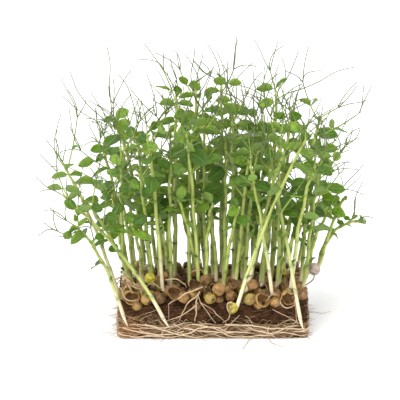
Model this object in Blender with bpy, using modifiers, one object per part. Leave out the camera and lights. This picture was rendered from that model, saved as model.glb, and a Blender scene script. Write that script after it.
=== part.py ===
"""Pea shoots growing on a block of peat, held together by the mat of their own roots.

Every plant is one grown piece: a seed, a stem, clasping leaves, and leaf stalks that carry leaflets and
end in forked tendrils. Its mesh starts as a sphere, the seed, and everything else is extruded out of it
face by face, so that it stays one closed skin. Metres, +Z up. The origin is the middle of the block's
flat underside, +X runs along the block's long side, and -Y is the front.
"""

import math
from collections import namedtuple

import bmesh
import bpy
import numpy as np
from mathutils import Matrix

MM = 0.001

# The block: a layer of peat on a felt of roots.
BLOCK_LENGTH = 127 * MM
BLOCK_DEPTH = 88 * MM
MAT_HEIGHT = 9 * MM
BLOCK_HEIGHT = 25 * MM
GAP = 0.3 * MM
MAT_OVERHANG = 0.6 * MM
CORNER_ROUND = 4 * MM
EDGE_ROUND = 2.5 * MM
SHARP_ANGLE = math.radians(40)

# Seeds. A sprout leaves its seed a little above the level.
SEED_RADIUS = 4.2 * MM
FRONT_SEED_RADIUS = 2.6 * MM
SPROUT_PITCH = math.radians(22.5)
SPROUT_LENGTH = 0.5 * MM
SPROUT_PUSH = 2 * MM

# Stems. The two inner points of a stem's curve stand at these shares of its lean and of its climb.
STEM_FOOT_RADIUS = 1.25 * MM
STEM_TIP_RADIUS = 0.85 * MM
EVEN_STEM = ((0.22, 0.30), (0.62, 0.68))
UPRIGHT_STEM = ((0.06, 0.55), (0.42, 1.04))
NODE_SHARES = (0.52, 0.69, 0.84, 0.965)
NODE_HALF = 1.3 * MM
SPIN_STRAY = 0.5

# Leaves: a pair at every node, lowest first. Pitch is from the level and roll is about the leaf's run.
LEAF_LENGTHS = (12 * MM, 15.5 * MM, 16 * MM, 9.5 * MM)
LEAF_SCALE = (0.8, 1.15)
LEAF_WIDTH_SHARE = 0.34
LEAF_SAG = 0.18
LEAF_THICKNESS = 0.5 * MM
LEAF_STALK = 0.8 * MM
LEAF_APART = 1.25
LEAF_SWAY = 0.5
LEAF_PITCH = (-0.2, 1.45)
LEAF_ROLL = (-1.5, 1.5)
LEAF_UPRIGHT = 0.8
LEAF_CLEAR = 0.3
LEAF_TRIES = 26

# Leaf stalks, by the node that each rises from: two leaflets on the way, then a fork into fine arms.
STALK_LENGTHS = {3: 24 * MM, 2: 25 * MM, 1: 22 * MM}
STALK_SCALE = (0.75, 1.25)
STALK_RADIUS = 0.45 * MM
STALK_TAPER = 0.35
STALK_FORK = (0.5, 1.0)
STALK_BEND = np.array([0.35, 0.35, 0.35])
STALK_LIFT = np.array([0.0, 0.0, 0.45])
STALK_SWAY = 0.6
STALK_SWAY_GROWTH = 1 / 8
STALK_TRIES = 24
STALK_POINTS = 61
LEAFLET_SHARE = 0.42
LEAFLET_LENGTH = 10 * MM
ARM_LENGTHS = (12 * MM, 23 * MM)
ARM_RADIUS = 0.28 * MM
ARM_TIP_RADIUS = 0.2 * MM
ARM_SPLAY = 0.6
ARM_STRAY = 0.2
ARM_BEND = 0.9
ARM_LIFT = np.array([0.0, 0.0, 0.35])
ARM_TRIES = 10
ARM_POINTS = 41
ARMS = 3
# Plants whose leaves and leaf stalks stay smaller than the others', and by how much.
STUNTED = {1: 0.85, 19: 0.45, 21: 0.93, 34: 0.9}
# Blades and whole leaf stalks left off, because each would pass through another of its own plant's: the
# plant, then the node or the leaf stalk, counted from 0, and a blade's side.
CROSSING_LEAVES = (
    (2, 2, 1),
    (2, 3, 1),
    (16, 1, 1),
    (16, 3, 1),
    (22, 3, 1),
    (34, 3, 1),
    (38, 2, 0),
    (42, 3, 1),
)
CROSSING_LEAFLETS = ((2, 0, 1), (42, 0, 1))
CROSSING_STALKS = ((28, 1), (36, 1))

# Cross-sections of the solid plants, as shares of the run of a stem, a leaf and a leaflet. A blade
# narrows no further than at BLUNT_SHARE.
STEM_SECTIONS = (0.0, 0.14, 0.34)
LEAF_SECTIONS = (0.42, 0.74, 1.0)
LEAFLET_SECTIONS = (0.5, 1.0)
STALK_SECTIONS = (0.0, LEAFLET_SHARE - 0.05, LEAFLET_SHARE + 0.05, 0.9, 1.0)
BLUNT_SHARE = 0.96
SEED_SEGMENTS = 8

# The grid that keeps different plants out of each other's space, and its low and high corners: nothing
# grows out of it. Within ATTACHED of its foot, a leaf or a stalk may touch its own plant.
CELL = 1.0 * MM
ROOM_LOW = np.array([-120, -78, 0]) * MM
ROOM_HIGH = np.array([106, 80, 195]) * MM
ATTACHED = 3.2 * MM

# Tries at a stem, and how far each try strays from the place asked for, as shares of a millimetre.
STEM_TRIES = 80
SEED_STRAY = np.array([0.04, 0.04, 0.0])
TIP_STRAY = np.array([0.1, 0.35, 0.04])
BOW_STRAY = 0.4 * TIP_STRAY
STEM_SAMPLES = 220

# Plants whose place shows, by hand: foot x, y, z, then tip x, y, z, in millimetres, then how far
# the stem rises before it bends over, from 0 to 1. A foot at z 0 stands on the peat.
CHOSEN = (
    (-58, -48, 15, -93, -45, 79, 0.35),
    (-61, -38, 0, -101, -30, 118, 0.10),
    (-57, 12, 0, -70, 2, 93, 0.20),
    (-31, -48, 14, -100, -55, 102, 0.15),
    (-50, -22, 0, -84, -38, 92, 0.10),
    (-43, 20, 0, -68, 12, 136, 0.60),
    (-38, -6, 0, -52, -2, 131, 0.10),
    (-6, -27, 0, -18, -34, 140, 0.30),
    (-14, 14, 0, -12, 10, 160, 0.20),
    (6, 27, 0, 6, 33, 158, 0.20),
    (-27, 4, 0, -25, 0, 157, 0.20),
    (13, -5, 0, 13, -10, 143, 0.20),
    (25, 11, 0, 30, 16, 134, 0.20),
    (38, 4, 0, 43, 0, 158, 0.20),
    (51, 10, 0, 74, 12, 141, 0.30),
    (57, -6, 0, 67, -15, 114, 0.20),
    (59, -20, 0, 71, -33, 107, 0.15),
    (61, 8, 0, 71, 5, 81, 0.15),
    (70, -2, 37, 101, 10, 68, 1.00),
    (13.5, -49, 22.5, 62, -55, 141, 0.10),
    (20, -33, 0, 48, -41, 130, 0.10),
    (43, -39, 0, 25, -46, 121, 0.10),
    (62, -48, 13, 39, -52, 119, 0.15),
    (-27, -21, 0, -29, -27, 120, 0.20),
    (5, -13, 0, 9, -16, 124, 0.20),
    (11, -27, 0, 24, -31, 121, 0.15),
)
FILL_COLUMNS = 9
FILL_ROWS = 6
FILL_SPACING = 8.6 * MM
FILL_MARGIN = 4 * MM
FILL_STRAY = 1.5 * MM
FILL_HEIGHTS = (80 * MM, 118 * MM)
FILL_SPREAD = np.array([0.26, 0.5])
FILL_LEAN = 9 * MM
FILL_RISE = (0.1, 0.4)
PLANTS = 50

# Seeds that never sprouted: x, y and z of the centre, in millimetres. z 0 lies on the peat.
LOOSE_SEEDS = ((-48, -37, 0), (31, -37, 0), (-14, -38, 0), (47, 27, 0), (-25, 30, 0))

# Root ends lying in front of the block: the points that each runs through, in millimetres.
ROOT_ENDS = (
    ((27, -45.5), (24, -54), (22, -64), (20, -72), (26, -76), (33, -84)),
    ((37, -45.5), (39, -54), (43, -62), (50, -67), (60, -72)),
)
ROOT_END_RADIUS = 0.3 * MM
ROOT_END_LIFT = 0.05 * MM

Leaf = namedtuple("Leaf", "foot along across over length")
Tendril = namedtuple("Tendril", "node stalk leaflets arms")
Plant = namedtuple("Plant", "seed radius controls spin leaves tendrils")


class Room:
    """A grid of cells, each free or held by one plant. What is claimed is widened by one cell."""

    def __init__(self):
        self.cells = np.zeros(np.ceil((ROOM_HIGH - ROOM_LOW) / CELL).astype(int) + 2, np.int16)

    def index(self, points):
        return tuple(((points - ROOM_LOW) / CELL).astype(int).T + 1)

    def is_free(self, points, owner, foot):
        """Whether points miss what is claimed. Near its foot a piece may touch its own plant."""
        if np.any(points < ROOM_LOW) or np.any(points > ROOM_HIGH):
            return False
        held = self.cells[self.index(points)]
        near = np.linalg.norm(points - foot, axis=1) < ATTACHED
        return not np.any((held != 0) & ~(near & (held == owner)))

    def claim(self, points, owner):
        i, j, k = self.index(points)
        for step in np.ndindex(3, 3, 3):
            at = (i + step[0] - 1, j + step[1] - 1, k + step[2] - 1)
            self.cells[at] = np.where(self.cells[at] == 0, owner, self.cells[at])


def unit(vector):
    return vector / np.linalg.norm(vector)


def square_to(vector, axis):
    """The direction of a vector's part that is square to an axis."""
    return unit(vector - np.dot(vector, axis) * axis)


def heading(azimuth, pitch):
    """A direction at an azimuth, turned up from the level by pitch."""
    level = math.cos(pitch)
    return np.array([math.cos(azimuth) * level, math.sin(azimuth) * level, math.sin(pitch)])


def bezier(controls, shares):
    """Points on a cubic curve at the given shares of its run."""
    t = np.asarray(shares)[:, None]
    a, b, c, d = controls
    return (1 - t) ** 3 * a + 3 * (1 - t) ** 2 * t * b + 3 * (1 - t) * t**2 * c + t**3 * d


def tangents(points):
    steps = np.gradient(points, axis=0)
    return steps / np.linalg.norm(steps, axis=1)[:, None]


def tube_samples(points, radius):
    """Points on the axis and on the skin of a tube, close enough together that no cell is missed."""
    angles = np.arange(8) * math.pi / 4
    ahead = tangents(points)
    side = np.cross(ahead, (0.0, 0.35, 1.0))
    side /= np.linalg.norm(side, axis=1)[:, None]
    up = np.cross(side, ahead)
    skin = [points + radius * (math.cos(a) * side + math.sin(a) * up) for a in angles]
    return np.concatenate([points, *skin])


def ball_samples(centre, radius):
    steps = np.arange(-radius, radius + CELL, 0.7 * CELL)
    grid = np.stack(np.meshgrid(steps, steps, steps), -1).reshape(-1, 3)
    return centre + grid[np.linalg.norm(grid, axis=1) <= radius]


def stem_controls(foot, tip, rise):
    """A stem climbs out of its seed, then leans to its tip. rise near 1 holds it upright for longer."""
    shares = (1 - rise) * np.array(EVEN_STEM) + rise * np.array(UPRIGHT_STEM)
    lean = (tip - foot) * (1, 1, 0)
    climb = (tip - foot) * (0, 0, 1)
    return np.array([foot, *(foot + across * lean + up * climb for across, up in shares), tip])


def blade_half_width(t):
    """An oval blade, widest a little past its middle, as a share of the blade's length."""
    return LEAF_WIDTH_SHARE * np.sin(math.pi * np.asarray(t) ** 0.9) ** 0.6


def blade_points(leaf, t, u):
    """Points at shares t along a blade and u across it: it sags with the square of t."""
    sag = np.array([0, 0, -LEAF_SAG * leaf.length])
    reach = leaf.length * t[:, None] * leaf.along + t[:, None] ** 2 * sag
    return leaf.foot + reach + (u * blade_half_width(t) * leaf.length)[:, None] * leaf.across


def blade_samples(leaf):
    t, u = np.meshgrid(np.linspace(0.02, 1, 22), np.linspace(-1, 1, 15))
    return blade_points(leaf, t.ravel(), u.ravel())


def new_leaf(foot, azimuth, pitch, roll, length):
    along = heading(azimuth, pitch)
    level = unit(np.cross((0, 0, 1), along))
    across = math.cos(roll) * level + math.sin(roll) * np.cross(along, level)
    return Leaf(foot + LEAF_STALK * along, along, across, np.cross(along, across), length)


def twig_points(foot, ahead, bend, length, count):
    """A twig runs ahead from its foot and curves aside by bend, more and more."""
    t = np.linspace(0, 1, count)[:, None]
    return foot + length * (t * ahead + 0.5 * t**2 * bend)


def loose_seed_centre(x, y, z):
    return np.array([x * MM, y * MM, z * MM if z else BLOCK_HEIGHT + GAP + SEED_RADIUS])


def filler_feet(random, taken):
    """Feet on a loose grid over the peat, leaving out those too near to a foot that is taken."""
    taken = list(taken)
    feet = []
    size = np.array([BLOCK_LENGTH, BLOCK_DEPTH]) - 2 * FILL_MARGIN
    for row in range(FILL_ROWS):
        for column in range(FILL_COLUMNS):
            across = (column + 0.5 * (row % 2) + 0.25) / FILL_COLUMNS - 0.5
            back = (row + 0.5) / FILL_ROWS - 0.5
            foot = size * (across, back) + random.uniform(-1, 1, 2) * FILL_STRAY
            if min(np.linalg.norm(foot - other) for other in taken) > FILL_SPACING:
                taken.append(foot)
                feet.append(foot)
    return feet


def stem_requests():
    """Foot, tip and rise of every plant: the chosen ones, then the fillers leaning outwards."""
    random = np.random.default_rng(7)
    requests = []
    on_peat = BLOCK_HEIGHT + GAP + SEED_RADIUS
    for x, y, z, tip_x, tip_y, tip_z, rise in CHOSEN:
        seed = np.array([x * MM, y * MM, z * MM if z else on_peat])
        requests.append((seed, np.array([tip_x, tip_y, tip_z]) * MM, rise))
    loose = [loose_seed_centre(*place)[:2] for place in LOOSE_SEEDS]
    feet = filler_feet(random, loose + [seed[:2] for seed, _, _ in requests])
    order = random.permutation(len(feet))
    for foot in [feet[i] for i in order[: PLANTS - len(requests)]]:
        tip = (1 + FILL_SPREAD) * foot + random.uniform(-1, 1, 2) * FILL_LEAN
        tip = np.append(tip, BLOCK_HEIGHT + random.uniform(*FILL_HEIGHTS))
        requests.append((np.append(foot, on_peat), tip, random.uniform(*FILL_RISE)))
    return requests


def grow_stem(room, owner, seed, tip, rise):
    """The first of several tries at a stem that misses the stems before it. Later tries stray further."""
    random = np.random.default_rng(100 + owner)
    radius = SEED_RADIUS if seed[2] > BLOCK_HEIGHT else FRONT_SEED_RADIUS
    for attempt in range(STEM_TRIES):
        stray = random.uniform(-1, 1, (3, 3)) * MM * attempt
        place = seed + stray[0] * SEED_STRAY
        end = tip + stray[1] * TIP_STRAY
        spin = math.atan2(end[1] - place[1], end[0] - place[0]) + random.uniform(-SPIN_STRAY, SPIN_STRAY)
        out = heading(spin, SPROUT_PITCH)
        controls = stem_controls(place + (radius + SPROUT_LENGTH) * out, end, rise)
        controls[1:3] += stray[2] * BOW_STRAY
        controls[1] += SPROUT_PUSH * out
        samples = tube_samples(bezier(controls, np.linspace(0, 1, STEM_SAMPLES)), STEM_FOOT_RADIUS)
        body = np.concatenate([samples, ball_samples(place, radius)])
        if room.is_free(body, owner, place):
            room.claim(body, owner)
            return Plant(place, radius, controls, spin, [[] for _ in NODE_SHARES], [])
    raise ValueError(f"plant {owner} finds no room: move its foot or its tip")


def grow_leaf(room, owner, centre, up, radius, azimuth, length, random):
    """A leaf towards azimuth out of a stem or a stalk that runs up, or None where there is no room for one.

    Of all the tries that find room and lead clear of the stem, the one that shows most blade to the
    front or the back stays, with a preference for those that stand upright.
    """
    best, most = None, 0.0
    for _ in range(LEAF_TRIES):
        turned = azimuth + random.uniform(-LEAF_SWAY, LEAF_SWAY)
        pitch = random.uniform(*LEAF_PITCH)
        roll = random.uniform(*LEAF_ROLL)
        size = length * random.uniform(*LEAF_SCALE)
        out = square_to(heading(turned, 0), up)
        foot = centre + radius * out
        leaf = new_leaf(foot, turned, pitch, roll, size)
        showing = abs(leaf.over[1]) * size**2 * (1 + LEAF_UPRIGHT * leaf.along[2])
        clear = np.dot(leaf.along, out) > LEAF_CLEAR
        if clear and showing > most and room.is_free(blade_samples(leaf), owner, foot):
            best, most = leaf, showing
    if best is not None:
        room.claim(blade_samples(best), owner)
    return best


def grow_pair(room, owner, centre, up, radius, azimuth, length, random):
    """The leaves of a pair that find room, one to each side of azimuth."""
    length = length * STUNTED.get(owner, 1)
    pair = []
    for side in (-1, 1):
        leaf = grow_leaf(room, owner, centre, up, radius, azimuth + side * LEAF_APART, length, random)
        if leaf is not None:
            pair.append(leaf)
    return pair


def grow_node(room, owner, plant, node):
    """The pair of leaves that clasps the stem at a node."""
    random = np.random.default_rng(1000 * (node + 1) + owner)
    azimuth = plant.spin + node * math.pi + random.uniform(-SPIN_STRAY, SPIN_STRAY)
    centre, further = bezier(plant.controls, [NODE_SHARES[node], NODE_SHARES[node] + 0.02])
    up = unit(further - centre)
    pair = grow_pair(room, owner, centre, up, STEM_TIP_RADIUS, azimuth, LEAF_LENGTHS[node], random)
    plant.leaves[node].extend(pair)


def grow_tendril(room, owner, plant, node):
    """A leaf stalk rises from a node, opposite to the last node's, and forks at its end."""
    random = np.random.default_rng(2000 * (node + 1) + owner)
    centre, further = bezier(plant.controls, [NODE_SHARES[node], NODE_SHARES[node] + 0.02])
    up = unit(further - centre)
    for attempt in range(STALK_TRIES):
        sway = random.uniform(-STALK_SWAY, STALK_SWAY) * (1 + STALK_SWAY_GROWTH * attempt)
        azimuth = plant.spin + node * math.pi + sway
        out = heading(azimuth, 0)
        side = square_to(out, up)
        fork = random.uniform(*STALK_FORK)
        ahead = math.cos(fork) * up + math.sin(fork) * side
        bend = random.uniform(-1, 1, 3) * STALK_BEND + STALK_LIFT
        length = STALK_LENGTHS[node] * random.uniform(*STALK_SCALE) * STUNTED.get(owner, 1)
        foot = centre + STEM_TIP_RADIUS * side
        stalk = twig_points(foot + STALK_RADIUS * side, ahead, bend, length, STALK_POINTS)
        samples = tube_samples(stalk, STALK_RADIUS)
        if room.is_free(samples, owner, foot):
            break
    else:
        return
    room.claim(samples, owner)
    middle, further = stalk[int(LEAFLET_SHARE * STALK_POINTS)], stalk[int(LEAFLET_SHARE * STALK_POINTS) + 3]
    up = unit(further - middle)
    leaflets = grow_pair(room, owner, middle, up, STALK_RADIUS, azimuth, LEAFLET_LENGTH, random)
    turn = random.uniform(0, 2 * math.pi)
    arms = [grow_arm(room, owner, stalk, turn + 2 * math.pi * i / ARMS, random) for i in range(ARMS)]
    plant.tendrils.append(Tendril(node, stalk, leaflets, [arm for arm in arms if arm is not None]))


def grow_arm(room, owner, stalk, turn, random):
    """A fine arm forks off the end of a stalk, or None where there is no room for one."""
    ahead = unit(stalk[-1] - stalk[-8])
    side = unit(np.cross(ahead, (0.3, 0.2, 0.93)))
    aside = math.cos(turn) * side + math.sin(turn) * np.cross(ahead, side)
    for _ in range(ARM_TRIES):
        way = unit(ahead + ARM_SPLAY * aside + ARM_LIFT + random.uniform(-ARM_STRAY, ARM_STRAY, 3))
        bend = random.uniform(-ARM_BEND, ARM_BEND, 3)
        length = random.uniform(*ARM_LENGTHS)
        points = twig_points(stalk[-3] + STALK_RADIUS * way, way, bend, length, ARM_POINTS)
        samples = tube_samples(points, ARM_RADIUS)
        if room.is_free(samples, owner, points[0]):
            room.claim(samples, owner)
            return points
    return None


def grow_plants():
    """All stems first, then the leaves and the leaf stalks, from the top pair down. What crosses is left off."""
    room = Room()
    for place in LOOSE_SEEDS:
        room.claim(ball_samples(loose_seed_centre(*place), SEED_RADIUS), -1)
    plants = [grow_stem(room, i, *request) for i, request in enumerate(stem_requests(), 1)]
    for node in reversed(range(len(NODE_SHARES))):
        for i, plant in enumerate(plants, 1):
            if node in STALK_LENGTHS:
                grow_tendril(room, i, plant, node)
            grow_node(room, i, plant, node)
    for owner, node, side in CROSSING_LEAVES:
        del plants[owner - 1].leaves[node][side]
    for owner, tendril, side in CROSSING_LEAFLETS:
        del plants[owner - 1].tendrils[tendril].leaflets[side]
    for owner, tendril in CROSSING_STALKS:
        del plants[owner - 1].tendrils[tendril]
    return plants


# From here on, the plants are made solid.


def section(centre, along, across, half_width, half_thickness):
    """The corners of a cross-section, anticlockwise as seen from its tip."""
    over = np.cross(along, across)
    signs = np.array([(1, 1), (-1, 1), (-1, -1), (1, -1)])
    return centre + signs[:, :1] * half_width * across + signs[:, 1:] * half_thickness * over


def extrude_to(bm, face, corners):
    """Extrudes a face to four corners, matched so that it doesn't twist. Returns the new cap."""
    bm.normal_update()
    face = bmesh.ops.extrude_discrete_faces(bm, faces=[face])["faces"][0]
    ring = [loop.vert for loop in face.loops]
    now = np.array([vert.co for vert in ring])
    now = now - now.mean(axis=0)
    ahead = corners - corners.mean(axis=0)
    turn = max(range(4), key=lambda k: float((now * np.roll(ahead, k, axis=0)).sum()))
    for vert, corner in zip(ring, np.roll(corners, turn, axis=0)):
        vert.co = corner
    return face


def sides_of(cap):
    return [f for edge in cap.edges for f in edge.link_faces if f is not cap]


def take_facing(faces, direction):
    """Takes the face that looks most nearly in a direction out of a list of faces."""
    for face in faces:
        face.normal_update()
    found = max(faces, key=lambda face: float(np.dot(face.normal, direction)))
    faces.remove(found)
    return found


def extrude_tube(bm, face, points, radii):
    """Carries a face along points, and returns each stretch's side faces.

    The tube is four-sided, with the cross-section's area that of a round one of the radius.
    """
    stretches = []
    ahead = tangents(points)
    across = unit(np.cross(ahead[0], (0.02, 0.01, 1.0)))
    halves = math.sqrt(math.pi) / 2 * np.asarray(radii)
    for i in range(1, len(points)):
        across = unit(across - np.dot(across, ahead[i]) * ahead[i])
        face = extrude_to(bm, face, section(points[i], ahead[i], across, halves[i], halves[i]))
        stretches.append(sides_of(face))
    return stretches


def extrude_leaf(bm, face, leaf, shares):
    """A flat blade with a cross-section at each of the shares of its length, the last at its tip."""
    widths = leaf.length * blade_half_width(np.minimum(shares, BLUNT_SHARE))
    centres = blade_points(leaf, np.array(shares), np.zeros(len(shares)))
    for centre, width in zip(centres, widths):
        corners = section(centre, leaf.along, leaf.across, width, LEAF_THICKNESS / 2)
        face = extrude_to(bm, face, corners)


def extrude_tendril(bm, face, tendril):
    """A leaf stalk with its leaflets, and the arms that fork off its end."""
    shares = np.array(STALK_SECTIONS)
    points = tendril.stalk[(shares * (STALK_POINTS - 1)).astype(int)]
    stretches = extrude_tube(bm, face, points, STALK_RADIUS * (1 - STALK_TAPER * shares))
    for leaflet in tendril.leaflets:
        base = take_facing(stretches[1], leaflet.along)
        extrude_leaf(bm, base, leaflet, LEAFLET_SECTIONS)
    for arm in tendril.arms:
        base = take_facing(stretches[3], arm[-1] - arm[0])
        extrude_tube(bm, base, arm[[0, -1]], (ARM_RADIUS, ARM_TIP_RADIUS))


def stem_shares(plant):
    """Where the stem has a cross-section: one each side of every node, and a few below."""
    near = NODE_HALF / np.linalg.norm(plant.controls[3] - plant.controls[0])
    nodes = [share + side * near for share in NODE_SHARES for side in (-1, 1)]
    return np.array([*STEM_SECTIONS, *nodes, 1.0])


def plant_mesh(plant):
    """The seed, with the stem, leaves and tendrils extruded out of it, about the seed's centre.

    The seed is a sphere, turned so that one of its faces looks where its stem comes out.
    """
    bm = bmesh.new()
    turn = Matrix.Translation(plant.seed) @ Matrix.Rotation(plant.spin - math.pi / SEED_SEGMENTS, 4, "Z")
    bmesh.ops.create_uvsphere(bm, u_segments=SEED_SEGMENTS, v_segments=4, radius=plant.radius, matrix=turn)
    shares = stem_shares(plant)
    points = np.vstack([plant.seed, bezier(plant.controls, shares)])
    radii = STEM_FOOT_RADIUS + (STEM_TIP_RADIUS - STEM_FOOT_RADIUS) * shares
    root = take_facing([f for f in bm.faces if len(f.verts) == 4], heading(plant.spin, SPROUT_PITCH))
    stretches = extrude_tube(bm, root, points, np.append(radii[0], radii))
    at_node = stretches[1 + len(STEM_SECTIONS)::2]
    for node, leaves in enumerate(plant.leaves):
        for leaf in leaves:
            extrude_leaf(bm, take_facing(at_node[node], leaf.along), leaf, LEAF_SECTIONS)
    for tendril in plant.tendrils:
        ahead = tendril.stalk[5] - tendril.stalk[0]
        extrude_tendril(bm, take_facing(at_node[tendril.node], ahead), tendril)
    # The shorter diagonal of a twisted side bulges outwards, so a thin blade's two faces stay apart.
    bmesh.ops.triangulate(bm, faces=bm.faces, quad_method="SHORT_EDGE")
    bmesh.ops.translate(bm, verts=bm.verts, vec=-plant.seed)
    return finished_mesh(bm, "plant")


def finished_mesh(bm, name):
    mesh = bpy.data.meshes.new(name)
    bm.to_mesh(mesh)
    bm.free()
    mesh.shade_smooth()
    mesh.set_sharp_from_angle(angle=SHARP_ANGLE)
    return mesh


def material(name, colour, roughness):
    made = bpy.data.materials.new(name)
    made.use_nodes = True
    surface = made.node_tree.nodes["Principled BSDF"]
    surface.inputs["Base Color"].default_value = (*colour, 1)
    surface.inputs["Roughness"].default_value = roughness
    surface.inputs["Metallic"].default_value = 0.0
    return made


def add_object(name, data, place, stand, finish):
    """A named object at a place, with its material, held by the stand and in the stand's collection."""
    made = bpy.data.objects.new(name, data)
    made.location = place
    made.parent = stand
    made.data.materials.append(finish)
    stand.users_collection[0].objects.link(made)
    return made


def rounded_slab(name, length, depth, low, high, stand, finish):
    """A slab with rounded upright corners and edges. Its top and underside stay flat."""
    bm = bmesh.new()
    bmesh.ops.create_cube(bm, size=1, matrix=Matrix.Diagonal((length, depth, high - low, 1)))
    upright = [e for e in bm.edges if abs(e.verts[0].co.z - e.verts[1].co.z) > GAP]
    bmesh.ops.bevel(bm, geom=upright, offset=CORNER_ROUND, segments=3, profile=0.5, affect="EDGES")
    slab = add_object(name, finished_mesh(bm, name), (0, 0, (low + high) / 2), stand, finish)
    rim = slab.modifiers.new("rounded edges", "BEVEL")
    rim.width = EDGE_ROUND
    rim.segments = 2
    rim.limit_method = "ANGLE"
    rim.angle_limit = SHARP_ANGLE


def loose_seed(name, centre, stand, finish):
    bm = bmesh.new()
    bmesh.ops.create_uvsphere(bm, u_segments=10, v_segments=7, radius=SEED_RADIUS)
    add_object(name, finished_mesh(bm, name), centre, stand, finish)


def root_end(name, waypoints, stand, finish):
    """A fine root end lying on the surface, from the front of the mat outwards."""
    curve = bpy.data.curves.new(name, "CURVE")
    curve.dimensions = "3D"
    curve.bevel_depth = ROOT_END_RADIUS
    curve.bevel_resolution = 1
    curve.use_fill_caps = True
    line = curve.splines.new("POLY")
    line.points.add(len(waypoints) - 1)
    for point, (x, y) in zip(line.points, waypoints):
        point.co = (x * MM, y * MM, 0, 1)
    add_object(name, curve, (0, 0, ROOT_END_RADIUS + ROOT_END_LIFT), stand, finish)


def main():
    for old in list(bpy.data.objects):
        bpy.data.objects.remove(old)
    collection = bpy.data.collections.new("pea_shoots")
    bpy.context.scene.collection.children.link(collection)
    stand = bpy.data.objects.new("pea_shoots", None)
    collection.objects.link(stand)
    peat = material("peat", (0.09, 0.05, 0.03), 0.95)
    roots = material("roots", (0.50, 0.36, 0.20), 0.85)
    seed_skin = material("seed_skin", (0.42, 0.24, 0.12), 0.6)
    greens = material("greens", (0.16, 0.36, 0.06), 0.5)

    mat_size = (BLOCK_LENGTH + 2 * MAT_OVERHANG, BLOCK_DEPTH + 2 * MAT_OVERHANG)
    rounded_slab("root_mat", *mat_size, 0.0, MAT_HEIGHT, stand, roots)
    rounded_slab("peat_block", BLOCK_LENGTH, BLOCK_DEPTH, MAT_HEIGHT + GAP, BLOCK_HEIGHT, stand, peat)
    for number, plant in enumerate(grow_plants(), 1):
        add_object(f"plant_{number:02d}", plant_mesh(plant), plant.seed, stand, greens)
    for number, place in enumerate(LOOSE_SEEDS, 1):
        loose_seed(f"loose_seed_{number}", loose_seed_centre(*place), stand, seed_skin)
    for number, waypoints in enumerate(ROOT_ENDS, 1):
        root_end(f"root_end_{number}", waypoints, stand, roots)


main()
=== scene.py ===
"""Pea shoots on their block of peat: the fine surfaces and the finishes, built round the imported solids.

Metres, +Z up. The origin is the middle of the block's underside, +X runs along its long side, and -Y is
the front. The shoots grow here by the same rules as their solids do, so each one lies on its own solid.
"""

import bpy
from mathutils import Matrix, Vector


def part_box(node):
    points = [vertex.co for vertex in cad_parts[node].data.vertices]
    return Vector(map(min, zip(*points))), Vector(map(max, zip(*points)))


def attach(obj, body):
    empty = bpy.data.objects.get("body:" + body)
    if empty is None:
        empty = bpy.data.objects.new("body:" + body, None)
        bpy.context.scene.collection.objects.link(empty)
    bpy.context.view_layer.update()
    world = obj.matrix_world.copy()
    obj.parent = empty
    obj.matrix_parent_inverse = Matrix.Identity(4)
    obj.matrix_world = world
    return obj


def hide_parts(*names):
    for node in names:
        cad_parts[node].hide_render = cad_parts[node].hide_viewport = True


bl_info = {
    "name": "Pea shoots on a peat block",
    "version": (1, 0, 0),
    "blender": (4, 5, 0),
    "location": "3D View > Sidebar > Pea shoots",
    "description": "Builds tray-grown pea shoots with their peas, peat and felted roots",
    "category": "Object",
}

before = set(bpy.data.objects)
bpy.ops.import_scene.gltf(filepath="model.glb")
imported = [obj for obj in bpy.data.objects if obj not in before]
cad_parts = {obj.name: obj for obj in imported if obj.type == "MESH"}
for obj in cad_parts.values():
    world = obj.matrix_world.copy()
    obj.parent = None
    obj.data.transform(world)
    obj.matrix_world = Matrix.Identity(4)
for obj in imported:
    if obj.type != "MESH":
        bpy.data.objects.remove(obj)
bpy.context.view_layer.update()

import functools
import math
from collections import namedtuple

import bpy
import numpy as np
from mathutils import Vector

MM = 0.001
# Where the random draws of each part of the work start. A plant's own draws start at its number plus one of
# the four below, and for leaves and leaf stalks that one is taken once more for each node further up.
STARTS = {"lattice": 3, "growth": 7, "peat": 11, "mat": 12}
STARTS |= {"floor": 13, "peas": 14, "filling": 15, "side": 17}
STEM_START = 100
LEAF_START = 1000
STALK_START = 2000
SKIN_START = 5000


def draws(name):
    return np.random.default_rng(STARTS[name])


# ---------------------------------------------------------------- how the shoots grow
# The sizes and the order of the draws are those of the solids.

BLOCK_LENGTH = 127 * MM
BLOCK_DEPTH = 88 * MM
BLOCK_HEIGHT = 25 * MM
GAP = 0.3 * MM

SEED_RADIUS = 4.2 * MM
FRONT_SEED_RADIUS = 2.6 * MM
SPROUT_PITCH = math.radians(22.5)
SPROUT_LENGTH = 0.5 * MM
SPROUT_PUSH = 2 * MM

STEM_FOOT_RADIUS = 1.25 * MM
STEM_TIP_RADIUS = 0.85 * MM
EVEN_STEM = ((0.22, 0.30), (0.62, 0.68))
UPRIGHT_STEM = ((0.06, 0.55), (0.42, 1.04))
NODE_SHARES = (0.52, 0.69, 0.84, 0.965)
SPIN_STRAY = 0.5
# The share of a stem's run over which its direction is taken.
SHORT_SHARE = 0.02

LEAF_LENGTHS = (12 * MM, 15.5 * MM, 16 * MM, 9.5 * MM)
LEAF_SCALE = (0.8, 1.15)
LEAF_WIDTH_SHARE = 0.34
LEAF_SAG = 0.18
LEAF_STALK = 0.8 * MM
LEAF_APART = 1.25
LEAF_SWAY = 0.5
LEAF_PITCH = (-0.2, 1.45)
LEAF_ROLL = (-1.5, 1.5)
LEAF_UPRIGHT = 0.8
LEAF_CLEAR = 0.3
LEAF_TRIES = 26

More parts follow.
